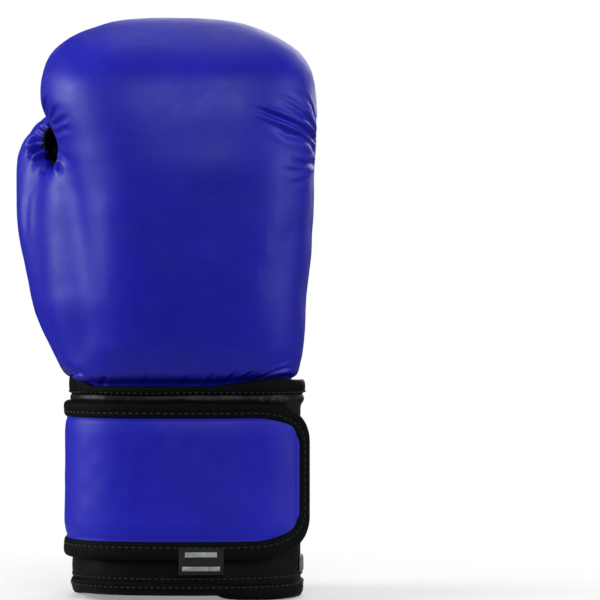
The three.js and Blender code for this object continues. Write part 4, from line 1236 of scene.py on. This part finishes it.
GX, GZ = np.meshgrid(gx, gz, indexing="ij")
GY = 25.4 + 0.55 * np.sin(GX * 2 * np.pi / 3.2) + 0.4 * noise3(np.stack([GX.ravel(), GZ.ravel(), 0 * GX.ravel()], 1), 14, 13).reshape(GX.shape)
n_ = GX.size
front = np.stack([GX, GY, GZ], -1).reshape(-1, 3)
gusset = make("slit_gusset_soft", np.vstack([front, front - [0, 1.3, 0]]), np.vstack([grid_faces(90, 60, flip=True), grid_faces(90, 60) + n_]), LINING)
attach(gusset, "glove")
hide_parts("slit_gusset")

# the long field of loops the strap closes on, the size label, the lining inside the hand
def plate(l0, l1, z0, z1, off, thick, n=60, m=24, bulge=0.0, seed=20):
    L, ZZ = np.meshgrid(np.linspace(l0, l1, n), np.linspace(z0, z1, m), indexing="ij")
    edge = np.minimum(np.minimum(L - l0, l1 - L), np.minimum(ZZ - z0, z1 - ZZ))
    P0 = np.stack([L.ravel(), ZZ.ravel(), np.zeros(L.size)], 1)
    return slab(L, off + thick * smooth(-0.6, 1.2, edge) + bulge * noise3(P0, 9, seed).reshape(L.shape), ZZ, thick)


loop = add("loop_patch_soft", [plate(SL["tip"] - 84, SL["tip"] + 4, 30, 90, 0.15, 0.75, 120, 60, 0.1)], PILE, "hook_and_loop", "glove")
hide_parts("loop_patch")
size = add("size_label_soft", [plate(float(lap(346)), float(lap(366)), 12.2, 19.6, 1.0, 0.55, 40, 14, 0.1)], SILVER_DIM, "woven_label", "glove")
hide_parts("size_label")

a = np.linspace(0, 2 * np.pi, 97)[:-1]
rows = [(98, 44.8, 29.3), (112, 43.9, 27.6), (130, 43, 26), (160, 43.5, 25.6), (190, 45, 25.3), (205, 44.5, 24.8), (216, 42, 23), (226, 36, 19.5), (233, 27, 14), (237.5, 15, 8), (239, 0.5, 0.4)]
rr = np.array(rows)
zz = np.concatenate([np.linspace(98, 226, 40), np.linspace(228, 239, 12)])
ha, hb = lut(rr[:, [0, 1]], zz), lut(rr[:, [0, 2]], zz)
c, s = np.cos(a), np.sin(a)
e = 2 / 2.6
P = np.stack([1 + np.sign(c) * np.abs(c) ** e * ha[:, None], 1 + np.sign(s) * np.abs(s) ** e * hb[:, None], np.repeat(zz[:, None], len(a), 1)], -1).reshape(-1, 3)
hand_l = grid_faces(len(zz), len(a), wrap_v=True)
fs = slit_f(P + [0, 0, 0])
Vl, Fl, _, side = cut(P, np.vstack([hand_l[:, [0, 1, 2]], hand_l[:, [0, 2, 3]]]), fs)
Vl, Fl, _ = compact(Vl, Fl[~side])
hl = make("hand_lining_soft", Vl, Fl, LINING)
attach(hl, "glove")
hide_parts("hand_lining")


# ---- the wrist strap ---------------------------------------------------------------------------
Z_OUT, Z_IN = (20.5, 97.0), (29.0, 90.0)
TIP = SL["tip"] - 2.5


RX, RZ = 27.0, 15.0
_fs = TIP - 19.0
_p0, _p1 = cuff_at(np.array(_fs), np.array(0.0)), cuff_at(np.array(_fs + 0.5), np.array(0.0))
_dir = (_p1 - _p0) / np.linalg.norm(_p1 - _p0)
_fl = np.linspace(_fs - 6, TIP + 4, 120)
_q = np.clip(_fl - _fs, 0, None)
_c0, _c1 = cuff_at(_fl, 0 * _fl), cuff_at(_fl, 1 + 0 * _fl)
_fd = np.where(_q > 0, (((_p0 + _dir * _q[:, None]) - _c0) * (_c1 - _c0)).sum(1), 0.0) * 0.62


def flare(l):
    return np.interp(l, _fl, _fd)


def strap_face(l0, l1, n, tip=False):
    ls = np.linspace(l0, l1, n)
    m = 56
    L, ZZ, OFF = [], [], []
    for x in ls:
        z0, z1 = Z_IN[0] - 0.6, Z_IN[1] + 0.6
        if tip:
            q = max(0.0, (x - (l1 - RX)) / RX)
            cutback = RZ * (1 - (1 - min(q, 1.0) ** 2.3) ** (1 / 2.3))
            z0, z1 = z0 + cutback, z1 - cutback
        L.append(np.full(m, x))
        ZZ.append(np.linspace(z0, z1, m))
    L, ZZ = np.array(L), np.array(ZZ)
    P0 = np.stack([L.ravel(), ZZ.ravel() * 0.8, np.zeros(L.size)], 1)
    edge = np.minimum(ZZ - Z_IN[0], Z_IN[1] - ZZ)
    if tip:
        edge = np.minimum(edge, l1 - L)
    OFF = 3.7 + 0.75 * smooth(0, 9, edge) + (0.30 * noise3(P0, 17, 8) + 0.14 * noise3(P0, 6, 9)).reshape(L.shape) * smooth(0, 6, edge)
    OFF = OFF - 0.45 * np.exp(-(((edge - 1.6) / 0.9) ** 2))
    OFF = OFF + flare(L)
    return L, OFF, ZZ


MID_ROOT, MID_SIDE = (SL["rootHinge"] + SL["midHinge"]) / 2, (SL["midHinge"] + SL["peelHinge"]) / 2
PARTS = [
    ("a", SL["anchor"], MID_ROOT, "glove", "strap_root", "rootHinge", 60),
    ("b", MID_ROOT, MID_SIDE, "strap_root", "strap_side", "midHinge", 90),
    ("c", MID_SIDE, TIP - 5.5, "strap_side", "strap_flap", "peelHinge", 190),
]


def binding(l0, l1, tip_end=None):
    """The folded tape round the strap's edge, as a swept ring section between an inner and an outer outline."""
    out = []
    prof = [(-0.05, 2.4), (-0.06, 4.0), (0.02, 4.5), (0.16, 4.85), (0.27, 4.55), (0.40, 4.95), (0.62, 5.1), (0.84, 4.85), (0.97, 4.1), (1.02, 3.2), (0.98, 2.3), (0.85, 1.75), (0.5, 1.6), (0.0, 1.6)]
    if tip_end is None:
        for zi, zo in ((Z_IN[1], Z_OUT[1]), (Z_IN[0], Z_OUT[0])):
            ls = np.linspace(l0, l1, max(12, int((l1 - l0) / 1.4)))
            L = np.repeat(ls[:, None], len(prof), 1)
            W = np.repeat(np.array(prof)[None, :, 0], len(ls), 0)
            OFF = np.repeat(np.array(prof)[None, :, 1], len(ls), 0)
            ZZ = zi + (zo - zi) * W
            v, f = sheet_grid(L, OFF + flare(L), ZZ), grid_faces(len(ls), len(prof), wrap_v=True, flip=zo > zi)
            caps = None
            out.append((v, f))
    else:
        li, ri, ro = tip_end - 5.5, 11.0, 15.0
        inner, outer_ = [], []

        def rounded(zlo, zhi, lend, rx, rz, n_straight, n_arc, n_end):
            c = lambda q: (math.sin(q) ** (2 / 2.3), math.cos(q) ** (2 / 2.3))
            pts = []
            for s_ in np.linspace(0, 1, n_straight, endpoint=False):
                pts.append((l0 + (lend - rx - l0) * s_, zhi))
            for q in np.linspace(0, np.pi / 2 - 1e-6, n_arc, endpoint=False):
                sx, cz = c(q)
                pts.append((lend - rx + rx * sx, zhi - rz + rz * cz))
            for s_ in np.linspace(0, 1, n_end, endpoint=False):
                pts.append((lend, zhi - rz + (zlo + rz - (zhi - rz)) * s_))
            for q in np.linspace(np.pi / 2 - 1e-6, 0, n_arc, endpoint=False):
                sx, cz = c(q)
                pts.append((lend - rx + rx * sx, zlo + rz - rz * cz))
            for s_ in np.linspace(0, 1, n_straight):
                pts.append((lend - rx + (l0 - (lend - rx)) * s_, zlo))
            return np.array(pts)

        a_ = rounded(Z_IN[0], Z_IN[1], li, RX, RZ, 100, 34, 24)
        b_ = rounded(Z_OUT[0], Z_OUT[1], tip_end, RX + 3.5, RZ + 5.0, 100, 34, 24)
        pr = np.array(prof)
        LZ = a_[:, None, :] + (b_ - a_)[:, None, :] * pr[None, :, 0, None]
        OFF = np.repeat(pr[None, :, 1], len(a_), 0) + flare(LZ[..., 0])
        v = sheet_grid(LZ[..., 0], OFF, LZ[..., 1])
        out.append((v, grid_faces(len(a_), len(prof), wrap_v=True, flip=True)))
    vs, fs, n = [], [], 0
    for v, f in out:
        vs.append(v)
        fs.append(f + n)
        n += len(v)
    return np.vstack(vs), np.vstack(fs)


def joint_ends(name, reach=9.0):
    l0 = SL[name]
    p0 = cuff_at(np.array(l0 - reach), np.array(3.4))
    p1 = cuff_at(np.array(l0 + reach), np.array(3.4))
    return Vector(metres([p0[0], p0[1], 58.75])), Vector(metres([p1[0], p1[1], 58.75]))


def rounded_path(l0, lend, zlo, zhi, rx, rz, n=300):
    c = lambda q: (math.sin(q) ** (2 / 2.3), math.cos(q) ** (2 / 2.3))
    qs = np.linspace(0, math.pi / 2 - 1e-6, 30, endpoint=False)
    pts = [(l0 + (lend - rx - l0) * s_, zhi) for s_ in np.linspace(0, 1, 60, endpoint=False)]
    pts += [(lend - rx + rx * c(q)[0], zhi - rz + rz * c(q)[1]) for q in qs]
    pts += [(lend, zhi - rz + (zlo + rz - (zhi - rz)) * s_) for s_ in np.linspace(0, 1, 30, endpoint=False)]
    pts += [(lend - rx + rx * c(q)[0], zlo + rz - rz * c(q)[1]) for q in np.linspace(math.pi / 2 - 1e-6, 0, 30, endpoint=False)]
    pts += [(lend - rx + (l0 - lend + rx) * s_, zlo) for s_ in np.linspace(0, 1, 60)]
    pts = np.array(pts)
    s_ = np.concatenate([[0], np.cumsum(np.linalg.norm(np.diff(pts, axis=0), axis=1))])
    q = np.linspace(0, s_[-1], n)
    return np.interp(q, s_, pts[:, 0]), np.interp(q, s_, pts[:, 1])


def strap_line(ls, zz, off):
    o = off + flare(ls)
    xy, up = cuff_at(ls, o), cuff_at(ls, o + 1.0)
    return np.concatenate([xy, zz[:, None]], 1), np.concatenate([up - xy, np.zeros((len(ls), 1))], 1)


for key, l0, l1, body_a, body_b, hinge, n in PARTS:
    tip = key == "c"
    v, f = slab(*strap_face(l0, l1, n, tip), 1.4)
    face = make(f"strap_face_{key}", v, f, BLUE_STRAP, crisp=48)
    v, f = binding(l0, TIP if tip else l1, TIP if tip else None)
    rim = make(f"strap_binding_{key}", v, f, TAPE)
    L, OFF, ZZ = strap_face(l0, l1, n, tip)
    v, f = slab(L, 2.3 + 0 * OFF + flare(L), ZZ, 0.7)
    back = make(f"strap_backing_{key}", v, f, LINING, crisp=48)
    zt, zb = Z_IN[1] + 0.27 * (Z_OUT[1] - Z_IN[1]), Z_IN[0] + 0.27 * (Z_OUT[0] - Z_IN[0])
    runs = []
    if tip:
        ls, zz = rounded_path(l0, TIP - 5.5 + 0.27 * 5.5, zb, zt, RX + 0.9, RZ + 1.3, 700)
        runs += stitch_run(*strap_line(ls, zz, 4.62), 3.4, 2.5, 0.36)
    else:
        for z_ in (zt, zb):
            ls = np.linspace(l0, l1, 200)
            runs += stitch_run(*strap_line(ls, z_ + 0 * ls, 4.62), 3.4, 2.5, 0.36)
    v, f = join(runs)
    sewn = make(f"strap_stitching_{key}", v, f, THREAD_K)
    s, e_ = joint_ends(hinge)
    for o, sl in ((face, "blue_leather"), (rim, "binding"), (back, "lining"), (sewn, "binding")):
        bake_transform(o)
    if key == "a":
        v, f = join([plate(SL["anchor"] - 1.5, SL["anchor"] + 9.0, Z_IN[0] - 3, Z_IN[1] + 3, 0.2, 2.2, 18, 60, 0.05)])
        anchor = make("strap_anchor_soft", v, f, TAPE)
        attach(anchor, "glove")
        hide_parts("strap_anchor")
    if key == "b":
        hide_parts("strap_root_face", "strap_side_face")
        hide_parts("strap_root_backing", "strap_side_backing")
        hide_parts("strap_root_rim_top", "strap_root_rim_bottom", "strap_side_rim_top", "strap_side_rim_bottom")
    if key == "c":
        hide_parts("strap_flap_face")
        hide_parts("strap_flap_backing")
        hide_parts("strap_flap_rim")

# field of hooks on the flap's inner side: a plain patch with rows of small hooks
L_h, Z_h = np.meshgrid(np.linspace(SL["tip"] - 64, SL["tip"] - 18, 96), np.linspace(36, 84, 100), indexing="ij")
nub = 0.16 * (np.sin(L_h * 2 * np.pi / 1.5) * np.sin(Z_h * 2 * np.pi / 1.5))
hv, hf = slab(L_h, 1.55 + 0 * nub, Z_h, 0.45)
n_ = L_h.size
inner = sheet_grid(L_h, 1.10 - np.clip(nub, 0, 1), Z_h)
hv[n_:] = inner
hook = make("hook_patch_soft", hv, hf, PILE)
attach(hook, "strap_flap")
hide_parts("hook_patch")

# woven tab folded over the strap's lower edge: plain ground with two bars
LAB0 = float(lap(270)) - 2.5
LL, LZ = np.meshgrid(np.linspace(LAB0, LAB0 + 21, 44), np.linspace(13.5, 26.6, 30), indexing="ij")
loff = 5.25 + 0.25 * np.exp(-(((LZ - 20) / 4) ** 2)) + 0.14 * noise3(np.stack([LL.ravel(), LZ.ravel(), 0 * LL.ravel()], 1), 6, 31).reshape(LL.shape) - 1.2 * smooth(18, 13.5, LZ)
lv, lf = slab(LL, loff, LZ, 0.45)
tab = make("label_tab_soft", lv, lf, LABEL_K)
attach(tab, "strap_flap")
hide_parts("label_tab")


def bar(l_a, l_b, z_a, z_b):
    BL, BZ = np.meshgrid(np.linspace(l_a, l_b, 26), np.linspace(z_a, z_b, 18), indexing="ij")
    o = 5.32 + 0.25 * np.exp(-(((BZ - 20) / 4) ** 2)) + 0.14 * noise3(np.stack([BL.ravel(), BZ.ravel(), 0 * BL.ravel()], 1), 6, 31).reshape(BL.shape) - 1.2 * smooth(18, 13.5, BZ)
    edge = np.minimum(np.minimum(BL - l_a, l_b - BL), np.minimum(BZ - z_a, z_b - BZ))
    return slab(BL, o + 0.14 * smooth(-0.2, 0.5, edge), BZ, 0.2)


bars = add("label_bars", [bar(LAB0 + 3.0, LAB0 + 18.0, 22.2, 24.6), bar(LAB0 + 1.6, LAB0 + 19.4, 15.4, 17.6)], SILVER, "woven_label", "strap_flap")
sewn_k = add("stitching_black", K, THREAD_K, "binding", "glove")

# ---- floor, light and camera -------------------------------------------------------------------
def stage():
    bpy.ops.mesh.primitive_plane_add(size=8, location=(0, 2.0, -0.0004))
    floor = bpy.context.object
    floor.name = "floor"
    n = Nodes("floor_paper")
    n.b.inputs["Base Color"].default_value = (0.96, 0.96, 0.96, 1)
    n.b.inputs["Roughness"].default_value = 0.9
    n.b.inputs["Specular IOR Level"].default_value = 0.1
    tc = n.t.nodes.new("ShaderNodeNewGeometry")
    ln = n.t.nodes.new("ShaderNodeVectorMath")
    ln.operation = "LENGTH"
    n.link(tc, "Position", ln, 0)
    fade = n.t.nodes.new("ShaderNodeMapRange")
    fade.interpolation_type = "SMOOTHSTEP"
    for k, v in (("From Min", 0.08), ("From Max", 0.30), ("To Min", 0.72), ("To Max", 0.0)):
        fade.inputs[k].default_value = v
    n.link(ln, "Value", fade, "Value")
    clear = n.t.nodes.new("ShaderNodeBsdfTransparent")
    mix = n.t.nodes.new("ShaderNodeMixShader")
    n.link(fade, "Result", mix, 0)
    n.link(clear, "BSDF", mix, 1)
    n.link(n.b, "BSDF", mix, 2)
    n.link(mix, "Shader", n.out, "Surface")
    floor.data.materials.append(n.m)
    world = bpy.data.worlds.new("studio")
    world.use_nodes = True
    wt = world.node_tree
    bg = wt.nodes["Background"]
    bg.inputs["Color"].default_value = (1, 1, 1, 1)
    bg.inputs["Strength"].default_value = 0.09
    seen = wt.nodes.new("ShaderNodeBackground")
    seen.inputs["Color"].default_value = (1, 1, 1, 1)
    seen.inputs["Strength"].default_value = 1.0
    path = wt.nodes.new("ShaderNodeLightPath")
    mix = wt.nodes.new("ShaderNodeMixShader")
    wt.links.new(path.outputs["Is Camera Ray"], mix.inputs[0])
    wt.links.new(bg.outputs[0], mix.inputs[1])
    wt.links.new(seen.outputs[0], mix.inputs[2])
    wt.links.new(mix.outputs[0], wt.nodes["World Output"].inputs["Surface"])
    bpy.context.scene.world = world

    def area(name, loc, target, size, power, color=(1, 1, 1)):
        d = bpy.data.lights.new(name, "AREA")
        d.shape = "RECTANGLE"
        d.size, d.size_y = size
        d.energy = power
        d.color = color
        o = bpy.data.objects.new(name, d)
        bpy.context.scene.collection.objects.link(o)
        o.location = loc
        o.rotation_euler = (Vector(target) - Vector(loc)).to_track_quat("-Z", "Y").to_euler()

    area("left", (-1.36, -0.16, 0.58), (-0.02, 0, 0.18), (0.7, 0.8), 20)
    area("top", (0.0, 0.45, 1.25), (0, 0, 0.22), (0.8, 0.5), 2.0)
    area("right", (1.32, -0.16, 0.42), (0.02, 0, 0.15), (0.8, 1.1), 8)
    area("front", (0.30, -1.45, 0.98), (0.01, 0, 0.16), (1.3, 0.8), 16)
    area("back", (0.3, 1.3, 0.7), (0, 0, 0.15), (0.9, 0.9), 9)


stage()
sc = bpy.context.scene
sc.view_settings.view_transform = "Standard"
sc.view_settings.look = "None"
cam = bpy.data.cameras.new("camera")
cam.lens = 180
cam.sensor_width = 36
co = bpy.data.objects.new("camera", cam)
sc.collection.objects.link(co)
co.location = ((58 + SHIFT[0]) / 1000, -1.5, 0.147)
co.rotation_euler = (math.pi / 2, 0, 0)
cam.clip_end = 50
sc.camera = co
